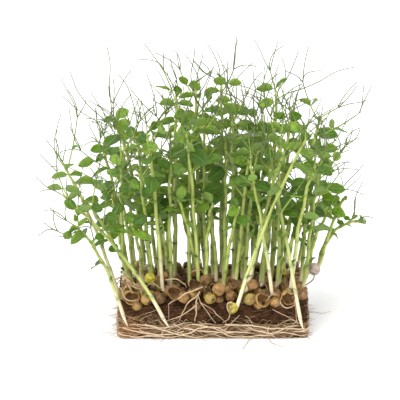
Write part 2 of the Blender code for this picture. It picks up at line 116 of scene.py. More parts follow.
STALK_LENGTHS = {3: 24 * MM, 2: 25 * MM, 1: 22 * MM}
STALK_SCALE = (0.75, 1.25)
STALK_RADIUS = 0.45 * MM
STALK_FORK = (0.5, 1.0)
STALK_BEND = np.array([0.35, 0.35, 0.35])
STALK_LIFT = np.array([0.0, 0.0, 0.45])
STALK_SWAY = 0.6
STALK_SWAY_GROWTH = 1 / 8
STALK_TRIES = 24
STALK_POINTS = 61
LEAFLET_SHARE = 0.42
LEAFLET_LENGTH = 10 * MM
ARM_LENGTHS = (12 * MM, 23 * MM)
ARM_RADIUS = 0.28 * MM
ARM_SPLAY = 0.6
ARM_STRAY = 0.2
ARM_BEND = 0.9
ARM_LIFT = np.array([0.0, 0.0, 0.35])
ARM_TRIES = 10
ARM_POINTS = 41
ARMS = 3
STUNTED = {1: 0.85, 19: 0.45, 21: 0.93, 34: 0.9}
# Blades and whole leaf stalks left off, because without them the plant doesn't cross itself: the plant, then
# the node or the leaf stalk, counted from 0, and a blade's side.
CROSSING_LEAVES = (
    (2, 2, 1), (2, 3, 1), (16, 1, 1), (16, 3, 1), (22, 3, 1), (34, 3, 1), (38, 2, 0), (42, 3, 1),
)
CROSSING_LEAFLETS = ((2, 0, 1), (42, 0, 1))
CROSSING_STALKS = ((28, 1), (36, 1))

CELL = 1.0 * MM
ROOM_LOW = np.array([-120, -78, 0]) * MM
ROOM_HIGH = np.array([106, 80, 195]) * MM
ATTACHED = 3.2 * MM

STEM_TRIES = 80
SEED_STRAY = np.array([0.04, 0.04, 0.0])
TIP_STRAY = np.array([0.1, 0.35, 0.04])
BOW_STRAY = 0.4 * TIP_STRAY
STEM_SAMPLES = 220

CHOSEN = (
    (-58, -48, 15, -93, -45, 79, 0.35),
    (-61, -38, 0, -101, -30, 118, 0.10),
    (-57, 12, 0, -70, 2, 93, 0.20),
    (-31, -48, 14, -100, -55, 102, 0.15),
    (-50, -22, 0, -84, -38, 92, 0.10),
    (-43, 20, 0, -68, 12, 136, 0.60),
    (-38, -6, 0, -52, -2, 131, 0.10),
    (-6, -27, 0, -18, -34, 140, 0.30),
    (-14, 14, 0, -12, 10, 160, 0.20),
    (6, 27, 0, 6, 33, 158, 0.20),
    (-27, 4, 0, -25, 0, 157, 0.20),
    (13, -5, 0, 13, -10, 143, 0.20),
    (25, 11, 0, 30, 16, 134, 0.20),
    (38, 4, 0, 43, 0, 158, 0.20),
    (51, 10, 0, 74, 12, 141, 0.30),
    (57, -6, 0, 67, -15, 114, 0.20),
    (59, -20, 0, 71, -33, 107, 0.15),
    (61, 8, 0, 71, 5, 81, 0.15),
    (70, -2, 37, 101, 10, 68, 1.00),
    (13.5, -49, 22.5, 62, -55, 141, 0.10),
    (20, -33, 0, 48, -41, 130, 0.10),
    (43, -39, 0, 25, -46, 121, 0.10),
    (62, -48, 13, 39, -52, 119, 0.15),
    (-27, -21, 0, -29, -27, 120, 0.20),
    (5, -13, 0, 9, -16, 124, 0.20),
    (11, -27, 0, 24, -31, 121, 0.15),
)
FILL_COLUMNS = 9
FILL_ROWS = 6
FILL_SPACING = 8.6 * MM
FILL_MARGIN = 4 * MM
FILL_STRAY = 1.5 * MM
FILL_HEIGHTS = (80 * MM, 118 * MM)
FILL_SPREAD = np.array([0.26, 0.5])
FILL_LEAN = 9 * MM
FILL_RISE = (0.1, 0.4)
PLANTS = 50

LOOSE_SEEDS = ((-48, -37, 0), (31, -37, 0), (-14, -38, 0), (47, 27, 0), (-25, 30, 0))

Leaf = namedtuple("Leaf", "foot along across over length")
Tendril = namedtuple("Tendril", "node stalk leaflets arms")
Plant = namedtuple("Plant", "seed radius controls spin leaves tendrils")


class Room:
    """A grid of cells, each free or held by one plant. What is claimed is widened by one cell."""

    def __init__(self):
        self.cells = np.zeros(np.ceil((ROOM_HIGH - ROOM_LOW) / CELL).astype(int) + 2, np.int16)

    def index(self, points):
        return tuple(((points - ROOM_LOW) / CELL).astype(int).T + 1)

    def is_free(self, points, owner, foot):
        """Whether points miss what is claimed. Near its foot a piece may touch its own plant."""
        if np.any(points < ROOM_LOW) or np.any(points > ROOM_HIGH):
            return False
        held = self.cells[self.index(points)]
        near = np.linalg.norm(points - foot, axis=1) < ATTACHED
        return not np.any((held != 0) & ~(near & (held == owner)))

    def claim(self, points, owner):
        i, j, k = self.index(points)
        for step in np.ndindex(3, 3, 3):
            at = (i + step[0] - 1, j + step[1] - 1, k + step[2] - 1)
            self.cells[at] = np.where(self.cells[at] == 0, owner, self.cells[at])


def unit(vector):
    return vector / np.linalg.norm(vector)


def square_to(vector, axis):
    """The direction of a vector's part that is square to an axis."""
    return unit(vector - np.dot(vector, axis) * axis)


def heading(azimuth, pitch):
    """A direction at an azimuth, turned up from the level by pitch."""
    level = math.cos(pitch)
    return np.array([math.cos(azimuth) * level, math.sin(azimuth) * level, math.sin(pitch)])


def bezier(controls, shares):
    """Points on a cubic curve at the given shares of its run."""
    t = np.asarray(shares)[:, None]
    a, b, c, d = controls
    return (1 - t) ** 3 * a + 3 * (1 - t) ** 2 * t * b + 3 * (1 - t) * t**2 * c + t**3 * d


def stem_at(controls, share):
    """The place at a share of a stem's run, and the way up the stem from there."""
    centre, further = bezier(controls, [share, share + SHORT_SHARE])
    return centre, unit(further - centre)


def tangents(points):
    steps = np.gradient(points, axis=0)
    return steps / np.linalg.norm(steps, axis=1)[:, None]


def tube_samples(points, radius):
    """Points on the axis and on the skin of a tube, close enough together that no cell is missed."""
    angles = np.arange(8) * math.pi / 4
    ahead = tangents(points)
    side = np.cross(ahead, (0.0, 0.35, 1.0))
    side /= np.linalg.norm(side, axis=1)[:, None]
    up = np.cross(side, ahead)
    skin = [points + radius * (math.cos(a) * side + math.sin(a) * up) for a in angles]
    return np.concatenate([points, *skin])


def ball_samples(centre, radius):
    steps = np.arange(-radius, radius + CELL, 0.7 * CELL)
    grid = np.stack(np.meshgrid(steps, steps, steps), -1).reshape(-1, 3)
    return centre + grid[np.linalg.norm(grid, axis=1) <= radius]


def stem_controls(foot, tip, rise):
    """A stem climbs out of its seed, then leans to its tip. rise near 1 holds it upright for longer."""
    shares = (1 - rise) * np.array(EVEN_STEM) + rise * np.array(UPRIGHT_STEM)
    lean = (tip - foot) * (1, 1, 0)
    climb = (tip - foot) * (0, 0, 1)
    return np.array([foot, *(foot + across * lean + up * climb for across, up in shares), tip])


def blade_half_width(t):
    """An oval blade, widest a little past its middle, as a share of the blade's length."""
    return LEAF_WIDTH_SHARE * np.sin(math.pi * np.asarray(t) ** 0.9) ** 0.6


def blade_points(leaf, t, u):
    """Points at shares t along a blade and u across it: it sags with the square of t."""
    sag = np.array([0, 0, -LEAF_SAG * leaf.length])
    reach = leaf.length * t[:, None] * leaf.along + t[:, None] ** 2 * sag
    return leaf.foot + reach + (u * blade_half_width(t) * leaf.length)[:, None] * leaf.across


def blade_samples(leaf):
    t, u = np.meshgrid(np.linspace(0.02, 1, 22), np.linspace(-1, 1, 15))
    return blade_points(leaf, t.ravel(), u.ravel())


def new_leaf(foot, azimuth, pitch, roll, length):
    along = heading(azimuth, pitch)
    level = unit(np.cross((0, 0, 1), along))
    across = math.cos(roll) * level + math.sin(roll) * np.cross(along, level)
    return Leaf(foot + LEAF_STALK * along, along, across, np.cross(along, across), length)


def twig_points(foot, ahead, bend, length, count):
    """A twig runs ahead from its foot and curves aside by bend, more and more."""
    t = np.linspace(0, 1, count)[:, None]
    return foot + length * (t * ahead + 0.5 * t**2 * bend)


def loose_seed_centre(x, y, z):
    return np.array([x * MM, y * MM, z * MM if z else BLOCK_HEIGHT + GAP + SEED_RADIUS])


def filler_feet(random, taken):
    """Feet on a loose grid over the peat, leaving out those too near to a foot that is taken."""
    taken = list(taken)
    feet = []
    size = np.array([BLOCK_LENGTH, BLOCK_DEPTH]) - 2 * FILL_MARGIN
    for row in range(FILL_ROWS):
        for column in range(FILL_COLUMNS):
            across = (column + 0.5 * (row % 2) + 0.25) / FILL_COLUMNS - 0.5
            back = (row + 0.5) / FILL_ROWS - 0.5
            foot = size * (across, back) + random.uniform(-1, 1, 2) * FILL_STRAY
            if min(np.linalg.norm(foot - other) for other in taken) > FILL_SPACING:
                taken.append(foot)
                feet.append(foot)
    return feet


def stem_requests():
    """Foot, tip and rise of every plant: the chosen ones, then the fillers leaning outwards."""
    random = draws("growth")
    requests = []
    on_peat = BLOCK_HEIGHT + GAP + SEED_RADIUS
    for x, y, z, tip_x, tip_y, tip_z, rise in CHOSEN:
        seed = np.array([x * MM, y * MM, z * MM if z else on_peat])
        requests.append((seed, np.array([tip_x, tip_y, tip_z]) * MM, rise))
    loose = [loose_seed_centre(*place)[:2] for place in LOOSE_SEEDS]
    feet = filler_feet(random, loose + [seed[:2] for seed, _, _ in requests])
    order = random.permutation(len(feet))
    for foot in [feet[i] for i in order[: PLANTS - len(requests)]]:
        tip = (1 + FILL_SPREAD) * foot + random.uniform(-1, 1, 2) * FILL_LEAN
        tip = np.append(tip, BLOCK_HEIGHT + random.uniform(*FILL_HEIGHTS))
        requests.append((np.append(foot, on_peat), tip, random.uniform(*FILL_RISE)))
    return requests


def grow_stem(room, owner, seed, tip, rise):
    """The first of several tries at a stem that misses the stems before it. Later tries stray further."""
    random = np.random.default_rng(STEM_START + owner)
    radius = SEED_RADIUS if seed[2] > BLOCK_HEIGHT else FRONT_SEED_RADIUS
    for attempt in range(STEM_TRIES):
        stray = random.uniform(-1, 1, (3, 3)) * MM * attempt
        place = seed + stray[0] * SEED_STRAY
        end = tip + stray[1] * TIP_STRAY
        spin = math.atan2(end[1] - place[1], end[0] - place[0]) + random.uniform(-SPIN_STRAY, SPIN_STRAY)
        out = heading(spin, SPROUT_PITCH)
        controls = stem_controls(place + (radius + SPROUT_LENGTH) * out, end, rise)
        controls[1:3] += stray[2] * BOW_STRAY
        controls[1] += SPROUT_PUSH * out
        samples = tube_samples(bezier(controls, np.linspace(0, 1, STEM_SAMPLES)), STEM_FOOT_RADIUS)
        body = np.concatenate([samples, ball_samples(place, radius)])
        if room.is_free(body, owner, place):
            room.claim(body, owner)
            return Plant(place, radius, controls, spin, [[] for _ in NODE_SHARES], [])
    raise ValueError(f"plant {owner} finds no room: move its foot or its tip")


def grow_leaf(room, owner, centre, up, radius, azimuth, length, random):
    """A leaf towards azimuth out of a stem or a stalk that runs up, or None where there is no room for one.

    Of all the tries that find room and lead clear of the stem, the one that shows most blade to the
    front or the back stays, with a preference for those that stand upright.
    """
    best, most = None, 0.0
    for _ in range(LEAF_TRIES):
        turned = azimuth + random.uniform(-LEAF_SWAY, LEAF_SWAY)
        pitch = random.uniform(*LEAF_PITCH)
        roll = random.uniform(*LEAF_ROLL)
        size = length * random.uniform(*LEAF_SCALE)
        out = square_to(heading(turned, 0), up)
        foot = centre + radius * out
        leaf = new_leaf(foot, turned, pitch, roll, size)
        showing = abs(leaf.over[1]) * size**2 * (1 + LEAF_UPRIGHT * leaf.along[2])
        clear = np.dot(leaf.along, out) > LEAF_CLEAR
        if clear and showing > most and room.is_free(blade_samples(leaf), owner, foot):
            best, most = leaf, showing
    if best is not None:
        room.claim(blade_samples(best), owner)
    return best


def grow_pair(room, owner, centre, up, radius, azimuth, length, random):
    """The leaves of a pair that find room, one to each side of azimuth."""
    length = length * STUNTED.get(owner, 1)
    pair = []
    for side in (-1, 1):
        leaf = grow_leaf(room, owner, centre, up, radius, azimuth + side * LEAF_APART, length, random)
        if leaf is not None:
            pair.append(leaf)
    return pair


def grow_node(room, owner, plant, node):
    """The pair of leaves that clasps the stem at a node."""
    random = np.random.default_rng(LEAF_START * (node + 1) + owner)
    azimuth = plant.spin + node * math.pi + random.uniform(-SPIN_STRAY, SPIN_STRAY)
    centre, up = stem_at(plant.controls, NODE_SHARES[node])
    pair = grow_pair(room, owner, centre, up, STEM_TIP_RADIUS, azimuth, LEAF_LENGTHS[node], random)
    plant.leaves[node].extend(pair)


def grow_tendril(room, owner, plant, node):
    """A leaf stalk rises from a node, opposite to the last node's, and forks at its end."""
    random = np.random.default_rng(STALK_START * (node + 1) + owner)
    centre, up = stem_at(plant.controls, NODE_SHARES[node])
    for attempt in range(STALK_TRIES):
        sway = random.uniform(-STALK_SWAY, STALK_SWAY) * (1 + STALK_SWAY_GROWTH * attempt)
        azimuth = plant.spin + node * math.pi + sway
        out = heading(azimuth, 0)
        side = square_to(out, up)
        fork = random.uniform(*STALK_FORK)
        ahead = math.cos(fork) * up + math.sin(fork) * side
        bend = random.uniform(-1, 1, 3) * STALK_BEND + STALK_LIFT
        length = STALK_LENGTHS[node] * random.uniform(*STALK_SCALE) * STUNTED.get(owner, 1)
        foot = centre + STEM_TIP_RADIUS * side
        stalk = twig_points(foot + STALK_RADIUS * side, ahead, bend, length, STALK_POINTS)
        samples = tube_samples(stalk, STALK_RADIUS)
        if room.is_free(samples, owner, foot):
            break
    else:
        return
    room.claim(samples, owner)
    at = int(LEAFLET_SHARE * STALK_POINTS)
    middle, up = stalk[at], unit(stalk[at + 3] - stalk[at])
    leaflets = grow_pair(room, owner, middle, up, STALK_RADIUS, azimuth, LEAFLET_LENGTH, random)
    turn = random.uniform(0, 2 * math.pi)
    arms = [grow_arm(room, owner, stalk, turn + 2 * math.pi * i / ARMS, random) for i in range(ARMS)]
    plant.tendrils.append(Tendril(node, stalk, leaflets, [arm for arm in arms if arm is not None]))


def grow_arm(room, owner, stalk, turn, random):
    """A fine arm forks off the end of a stalk, or None where there is no room for one."""
    ahead = unit(stalk[-1] - stalk[-8])
    side = unit(np.cross(ahead, (0.3, 0.2, 0.93)))
    aside = math.cos(turn) * side + math.sin(turn) * np.cross(ahead, side)
    for _ in range(ARM_TRIES):
        way = unit(ahead + ARM_SPLAY * aside + ARM_LIFT + random.uniform(-ARM_STRAY, ARM_STRAY, 3))
        bend = random.uniform(-ARM_BEND, ARM_BEND, 3)
        length = random.uniform(*ARM_LENGTHS)
        points = twig_points(stalk[-3] + STALK_RADIUS * way, way, bend, length, ARM_POINTS)
        samples = tube_samples(points, ARM_RADIUS)
        if room.is_free(samples, owner, points[0]):
            room.claim(samples, owner)
            return points
    return None


def grow_plants():
    """All stems first, then the leaves and the leaf stalks, from the top pair down. What is listed as
    crossing is left off at the end. Also gives the room."""
    room = Room()
    for place in LOOSE_SEEDS:
        room.claim(ball_samples(loose_seed_centre(*place), SEED_RADIUS), -1)
    plants = [grow_stem(room, i, *request) for i, request in enumerate(stem_requests(), 1)]
    for node in reversed(range(len(NODE_SHARES))):
        for i, plant in enumerate(plants, 1):
            if node in STALK_LENGTHS:
                grow_tendril(room, i, plant, node)
            grow_node(room, i, plant, node)
    for owner, node, side in CROSSING_LEAVES:
        del plants[owner - 1].leaves[node][side]
    for owner, tendril, side in CROSSING_LEAFLETS:
        del plants[owner - 1].tendrils[tendril].leaflets[side]
    for owner, tendril in CROSSING_STALKS:
        del plants[owner - 1].tendrils[tendril]
    return plants, room


# ---------------------------------------------------------------- skins
# A skin is points, four-sided and three-sided faces, a finish number for every face, and marks, which are
# numbers at the points that the finishes read.

Skin = namedtuple("Skin", "points quads tris finishes marks")


def loft(rings, start, end, finish=0, **marks):
    """Closed skins, each a row of rings with a fan of faces to a pole at either end.

    rings is (skins, levels, around, 3), and a ring runs anticlockwise as seen from the far end. start and
    end are (skins, 3). A mark fits (skins, levels, around), and a pole takes the mean of its ring.
    """
    count, levels, around, _ = rings.shape
    size = levels * around + 2
    points = np.concatenate([rings.reshape(count, -1, 3), start[:, None], end[:, None]], axis=1)
    level, here = np.meshgrid(np.arange(levels - 1) * around, np.arange(around), indexing="ij")
    after = (here + 1) % around
    quads = np.stack([level + here, level + after, level + around + after, level + around + here], -1)
    here, after = here[0], after[0]
    last = (levels - 1) * around
    fans = [(np.full(around, size - 2), after, here), (np.full(around, size - 1), last + here, last + after)]
    tris = np.concatenate([np.stack(fan, -1) for fan in fans])
    shift = (np.arange(count) * size)[:, None, None]
    quads = (quads.reshape(-1, 4) + shift).reshape(-1, 4)
    tris = (tris + shift).reshape(-1, 3)
    spread = {}
    for name, values in marks.items():
        values = np.broadcast_to(values, (count, levels, around))
        poles = [values[:, row].mean(axis=1)[:, None] for row in (0, -1)]
        spread[name] = np.concatenate([values.reshape(count, -1), *poles], axis=1).ravel()
    finishes = np.full(len(quads) + len(tris), finish)
    return Skin(points.reshape(-1, 3), quads, tris, finishes, spread)


def joined(skins):
    """Several skins as one. A mark that one of them lacks is 0 there."""
    starts = np.cumsum([0] + [len(skin.points) for skin in skins])
    names = sorted({name for skin in skins for name in skin.marks})
    four = np.concatenate([skin.finishes[: len(skin.quads)] for skin in skins])
    three = np.concatenate([skin.finishes[len(skin.quads):] for skin in skins])
    return Skin(
        np.concatenate([skin.points for skin in skins]),
        np.concatenate([skin.quads + start for skin, start in zip(skins, starts)]),
        np.concatenate([skin.tris + start for skin, start in zip(skins, starts)]),
        np.concatenate([four, three]),
        {n: np.concatenate([s.marks.get(n, np.zeros(len(s.points))) for s in skins]) for n in names},
    )


def add_piece(name, skin, finishes, slot, *stands_for):
    """A skin as a smooth mesh object that rides on the one body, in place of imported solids."""
    mesh = bpy.data.meshes.new(name)
    mesh.vertices.add(len(skin.points))
    mesh.vertices.foreach_set("co", skin.points.astype(np.float32).ravel())
    corners = np.concatenate([skin.quads.ravel(), skin.tris.ravel()]).astype(np.int32)
    sizes = np.repeat([4, 3], [len(skin.quads), len(skin.tris)])
    mesh.loops.add(len(corners))
    mesh.loops.foreach_set("vertex_index", corners)
    mesh.polygons.add(len(sizes))
    mesh.polygons.foreach_set("loop_start", (np.cumsum(sizes) - sizes).astype(np.int32))
    mesh.polygons.foreach_set("material_index", skin.finishes.astype(np.int32))
    mesh.update(calc_edges=True)
    mesh.shade_smooth()
    for mark, values in skin.marks.items():
        mesh.attributes.new(mark, "FLOAT", "POINT").data.foreach_set("value", values.astype(np.float32))
    for finish in finishes:
        mesh.materials.append(finish)
    piece = bpy.data.objects.new(name, mesh)
    bpy.context.scene.collection.objects.link(piece)
    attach(piece, "root")
    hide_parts(*stands_for)
    return piece


def length_of(vectors):
    return np.linalg.norm(vectors, axis=-1, keepdims=True)


LATTICE_SIZE = 32


@functools.cache
def lattice():
    return draws("lattice").uniform(-1, 1, (LATTICE_SIZE,) * 3)


def lumps(points, size):
    """Smooth random lumps from -1 to 1: random numbers at the corners of cubes of a size, eased between."""
    whole = np.floor(points / size)
    part = points / size - whole
    part = part * part * (3 - 2 * part)
    low = whole.astype(int)
    total = 0
    for corner in np.ndindex(2, 2, 2):
        i, j, k = np.moveaxis((low + corner) % LATTICE_SIZE, -1, 0)
        share = np.prod(np.where(corner, part, 1 - part), axis=-1)
        total = total + share * lattice()[i, j, k]
    return total


def smooth_path(waypoints, count):
    """Points along a smooth curve through waypoints, in millimetres: each span is a cubic whose slope at a
    waypoint is half of the step between its neighbours."""
    knots = np.array(waypoints, float) * MM
    before = np.vstack([2 * knots[0] - knots[1], knots[:-1]])
    after = np.vstack([knots[1:], 2 * knots[-1] - knots[-2]])
    slopes = (after - before) / 2
    run = np.linspace(0, len(knots) - 1, count)
    span = np.minimum(run.astype(int), len(knots) - 2)
    t = (run - span)[:, None]
    ahead = t * t * (3 - 2 * t)
    bow = t * (1 - t)
    curve = (1 - ahead) * knots[span] + ahead * knots[span + 1]
    return curve + bow * (1 - t) * slopes[span] - bow * t * slopes[span + 1]


def ring_directions(ahead, around):
    """For paths' directions ahead, (n, m, 3), the outward direction at each of the points around.

    The two directions square to a path start from the axis that the whole path runs along least.
    """
    axis = np.eye(3)[np.abs(ahead).max(axis=1).argmin(axis=1)][:, None]
    side = np.cross(ahead, axis)
    side /= length_of(side)
    up = np.cross(ahead, side)
    angles = np.arange(around) * 2 * math.pi / around
    return np.cos(angles)[:, None] * side[:, :, None] + np.sin(angles)[:, None] * up[:, :, None]


def tubes(paths, radii, around, finish=0, ridge=0.0, **marks):
    """Round tubes along paths (n, m, 3): circles of the radii (n, m), square to the path.

    The ends are domed. ridge swells the circle at four corners. A mark fits (n, m).
    """
    ahead = np.gradient(paths, axis=1)
    ahead /= length_of(ahead)
    out = ring_directions(ahead, around)
    corners = 1 + ridge * np.cos(4 * np.arange(around) * 2 * math.pi / around)
    rings = paths[:, :, None] + (radii[..., None] * corners)[..., None] * out
    start = paths[:, 0] - 0.7 * radii[:, :1] * ahead[:, 0]
    end = paths[:, -1] + 0.7 * radii[:, -1:] * ahead[:, -1]
    spread = {name: np.broadcast_to(values, radii.shape)[..., None] for name, values in marks.items()}
    return loft(rings, start, end, finish, **spread)


def tapered(count, thick, thin, power=1.0):
    """Radii that fall from thick to thin along count points."""
    return thick + (thin - thick) * np.linspace(0, 1, count) ** power


# ---------------------------------------------------------------- leaves

BLADE_RUN = np.array([-0.04, 0.0, 0.05, 0.1, 0.17, 0.27, 0.39, 0.52, 0.65, 0.77, 0.87, 0.94, 0.985])
BLADE_ACROSS = np.array([1, 0.7, 0.36, 0, -0.36, -0.7, -1, -0.7, -0.36, 0, 0.36, 0.7])
BLADE_SIDE = np.array([0, 1, 1, 1, 1, 1, 0, -1, -1, -1, -1, -1])
# A blade's stalk, as a share of the blade's run, and its radius.
PETIOLE_SHARE = 0.1
PETIOLE_RADIUS = 0.34 * MM
BLADE_TIP_BLUNT = 0.35 * MM
# The least and the most of a blade's fold that it takes, the waves along an edge, and the midrib's groove.
FOLD_SHARES = (0.3, 1.0)
EDGE_WAVES = 9
GROOVE_DEPTH = 0.12 * MM
GROOVE_SHARE = 0.2


def blades(leaves, fold, thickness, finish, random, wave=0.35 * MM, **marks):
    """Thin closed blades. A ring's points stand at shares u across the blade, out and back underneath.

    Height over the flat blade: fold times the distance from the midrib, plus an edge wave that grows with
    u squared, less a groove along the midrib. The blade is thickest at the midrib and thin at the edge.
    """
    parts = Leaf._fields[:4]
    foot, along, across, over = (np.array([getattr(leaf, part) for leaf in leaves]) for part in parts)
    size = np.array([leaf.length for leaf in leaves])[:, None, None]
    t = BLADE_RUN[None, :, None]
    u = BLADE_ACROSS[None, None, :]
    side = BLADE_SIDE[None, None, :]
    least = np.where(t < PETIOLE_SHARE, PETIOLE_RADIUS, BLADE_TIP_BLUNT)
    half = np.maximum(size * blade_half_width(np.clip(t, 0, 1)), least)
    folds = fold * random.uniform(*FOLD_SHARES, (len(leaves), 1, 1))
    phase = random.uniform(0, 2 * math.pi, (len(leaves), 1, 1))
    waves = wave * np.sin(EDGE_WAVES * t + phase + 1.5 * np.sign(u)) * u**2 * np.clip(2 * t, 0, 1)
    groove = GROOVE_DEPTH * np.exp(-((u / GROOVE_SHARE) ** 2)) * np.clip(4 * t, 0, 1)
    petiole = np.clip((PETIOLE_SHARE - t) / PETIOLE_SHARE, 0, 1)
    body = (thickness * (1 - petiole) + 2 * PETIOLE_RADIUS * petiole) / 2 * np.sqrt(1 - 0.8 * u**2)
    rise = folds * np.abs(u) * half + waves + side * body - groove
    width = u * half * np.cos(folds)
    sag = np.array([0, 0, -LEAF_SAG])
    middle = foot[:, None] + size * (t[..., 0][..., None] * along[:, None] + np.clip(t, 0, 1) ** 2 * sag)
    rings = middle[:, :, None] + width[..., None] * across[:, None, None]
    rings = rings + rise[..., None] * over[:, None, None]
    start = middle[:, 0] - 0.4 * MM * along
    end = rings[:, -1].mean(axis=1) + BLADE_TIP_BLUNT * along
    if "tone" not in marks:
        marks["tone"] = random.uniform(0, 1, (len(leaves), 1, 1)) ** 1.5
    return loft(rings, start, end, finish, along=t, across=u, under=(side < 0) * 1.0, **marks)


# ---------------------------------------------------------------- peas, crumbs and split skins


def turned(random, count):
    """Random turns: the three directions of each are a random direction and two square to it."""
    first = random.normal(size=(count, 3))
    first /= length_of(first)
    second = np.cross(first, random.normal(size=(count, 3)))
    second /= length_of(second)
    return np.stack([second, np.cross(first, second), first], axis=1)


# Sizes of the lumps on a ball of radius 1: the slow ones, and those that the creases run between.
SLOW_LUMP = 0.9
CREASE_LUMP = 0.55
CREASE_WIDTH = 0.3
# How far up the last pole the dark eye starts, and how far it takes to be fully dark.
EYE_START = 0.9
EYE_EDGE = 0.08


def balls(centres, radii, levels, around, lumpiness, creases, random, finish=0, squash=0.16, **marks):
    """Closed lumpy balls. The reach in a direction is the radius times 1 plus slow lumps, less creases.

    A crease runs where a finer pattern of lumps passes through 0, and the eye is the last pole. Each ball
    is flattened along its own three directions by up to squash.
    """
    count = len(centres)
    angle = math.pi * (np.arange(levels + 2) / (levels + 1))[:, None]
    spin = 2 * math.pi * np.arange(around) / around
    level = np.sin(angle)
    ways = np.stack(np.broadcast_arrays(level * np.cos(spin), level * np.sin(spin), -np.cos(angle)), -1)
    own = random.uniform(0, 20, (count, 1, 1, 3))
    slow = lumps(ways + own, SLOW_LUMP)
    crease = np.clip(1 - np.abs(lumps(ways + own, CREASE_LUMP)) / CREASE_WIDTH, 0, 1)
    reach = radii[:, None, None] * (1 + lumpiness * slow - creases * crease**2)
    flat = 1 - squash * random.uniform(0, 1, (count, 3, 1))
    directions = np.einsum("laj,njk->nlak", ways, flat * turned(random, count))
    points = centres[:, None, None] + reach[..., None] * directions
    eye = np.clip((-np.cos(angle) - EYE_START) / EYE_EDGE, 0, 1)
    spread = {name: np.asarray(values)[:, None, None] for name, values in marks.items()}
    start, end = points[:, 0].mean(axis=1), points[:, -1].mean(axis=1)
    inner = slice(1, -1)
    return loft(points[:, inner], start, end, finish, crease=crease[:, inner], eye=eye[inner], **spread)


SPLIT_RINGS = (7, 18)


def split_skins(centres, radii, openings, mouths, finish=0, **marks):
    """Seed skins burst open: a ball's outside from its pole to a torn rim, then its inside back again.

    mouths is the angle from the pole at which each is torn, and the rim wanders about it.
    """
    levels, around = SPLIT_RINGS
    spin = 2 * math.pi * np.arange(around) / around
    share = np.append(np.linspace(0.12, 1, levels), np.linspace(1, 0.12, levels))
    inside = np.repeat([0, 1], levels)[:, None]
    circle = np.stack([2 * np.cos(spin), 2 * np.sin(spin), 0 * spin], -1)
    wander = 0.5 * lumps(circle + 5 * centres[:, None] / MM, 1.0)
    angle = share[:, None] * (mouths[:, None] + wander)[:, None]
    curl = 0.14 * np.clip(share - 0.7, 0, 1)[:, None]
    dents = 0.09 * np.cos(2 * spin + 1) + 0.06 * np.cos(3 * spin + 2)
    reach = radii[:, None, None] * (1 + curl - 0.12 * inside + dents)
    ahead = openings / length_of(openings)
    side = np.cross(ahead, (0.1, 0.2, 0.9))
    side /= length_of(side)
    up = np.cross(ahead, side)
    out = np.cos(spin)[:, None] * side[:, None] + np.sin(spin)[:, None] * up[:, None]
    level, deep = ((reach * share_of(angle))[..., None] for share_of in (np.sin, np.cos))
    rings = centres[:, None, None] + (level * out[:, None] - deep * ahead[:, None, None])
    spread = {name: np.asarray(values)[:, None, None] for name, values in marks.items()}
    start, end = rings[:, 0].mean(axis=1), rings[:, -1].mean(axis=1)
    # The inside of a burst skin carries the crease mark, which the pea finish paints as shade.
    return loft(rings, start, end, finish, crease=0.7 * inside, eye=0.0, **spread)


# ---------------------------------------------------------------- the block


def wall_at(run, length, depth, corner):
    """Places and outward directions at distances run round a rectangle with round corners.

    The run starts at the left end of the front and goes right: four straights, each with a quarter circle
    after it.
    """
    a, b = length / 2 - corner, depth / 2 - corner
    straights = np.array([2 * a, 2 * b, 2 * a, 2 * b])
    starts = np.cumsum(np.append(0, straights[:-1] + math.pi / 2 * corner))
    run = run % (2 * math.pi * corner + straights.sum())
    side = np.searchsorted(starts, run, side="right") - 1
    past = run - starts[side]
    round_corner = np.clip(past - straights[side], 0, None) / corner
    short = np.clip(straights[side] - past, 0, None)
    centres = np.array([(a, -b), (a, b), (-a, b), (-a, -b)])[side]
    way = np.stack([np.cos(side * math.pi / 2), np.sin(side * math.pi / 2)], -1)
    turn = side * math.pi / 2 + round_corner
    out = np.stack([np.sin(turn), -np.cos(turn)], -1)
    return centres - short[..., None] * way + corner * out, out


def wall_run(length, depth, corner):
    return 2 * (length + depth) - (8 - 2 * math.pi) * corner


def slab(length, depth, low, high, corner, edge, around, walls, tops, roughness, finish=0):
    """A block as rings: out over the underside, up the wall, and in over the top, roughened by lumps.

    A ring is the wall's outline scaled about the middle. The lumps push it along a direction that tilts
    from down through outwards to up. The underside stays flat.
    """
    run = np.arange(around) / around * wall_run(length, depth, corner)
    outline, out = wall_at(run, length, depth, corner)
    inwards = 1 - edge / (depth / 2)
    scale = [0.04, 0.4, 0.8, inwards, *np.ones(walls), inwards, *np.linspace(inwards, 0.03, tops)[1:]]
    height = [low] * 4 + [*np.linspace(low + edge, high - edge, walls)] + [high] * tops
    tilt = [-1] * 4 + [*np.linspace(-0.2, 0.2, walls)] + [0.6] + [1] * (tops - 1)
    scale, height, tilt = (np.array(values)[:, None] for values in (scale, height, tilt))
    flat = scale[..., None] * outline
    column = (*flat.shape[:2], 1)
    rings = np.concatenate([flat, np.broadcast_to(height[..., None], column)], -1)
    level, up = np.cos(tilt * math.pi / 2)[..., None] * out, np.sin(tilt * math.pi / 2)[..., None]
    push = np.concatenate([level, np.broadcast_to(up, column)], -1)
    rough = 0.55 * lumps(rings, 5 * MM) + 0.45 * lumps(rings, 2.3 * MM) + 0.3 * lumps(rings, 1.2 * MM)
    rings = rings + (roughness * np.where(tilt > -1, rough, 0))[..., None] * push
    return loft(rings[None], rings[None, 0].mean(axis=1), rings[None, -1].mean(axis=1), finish)


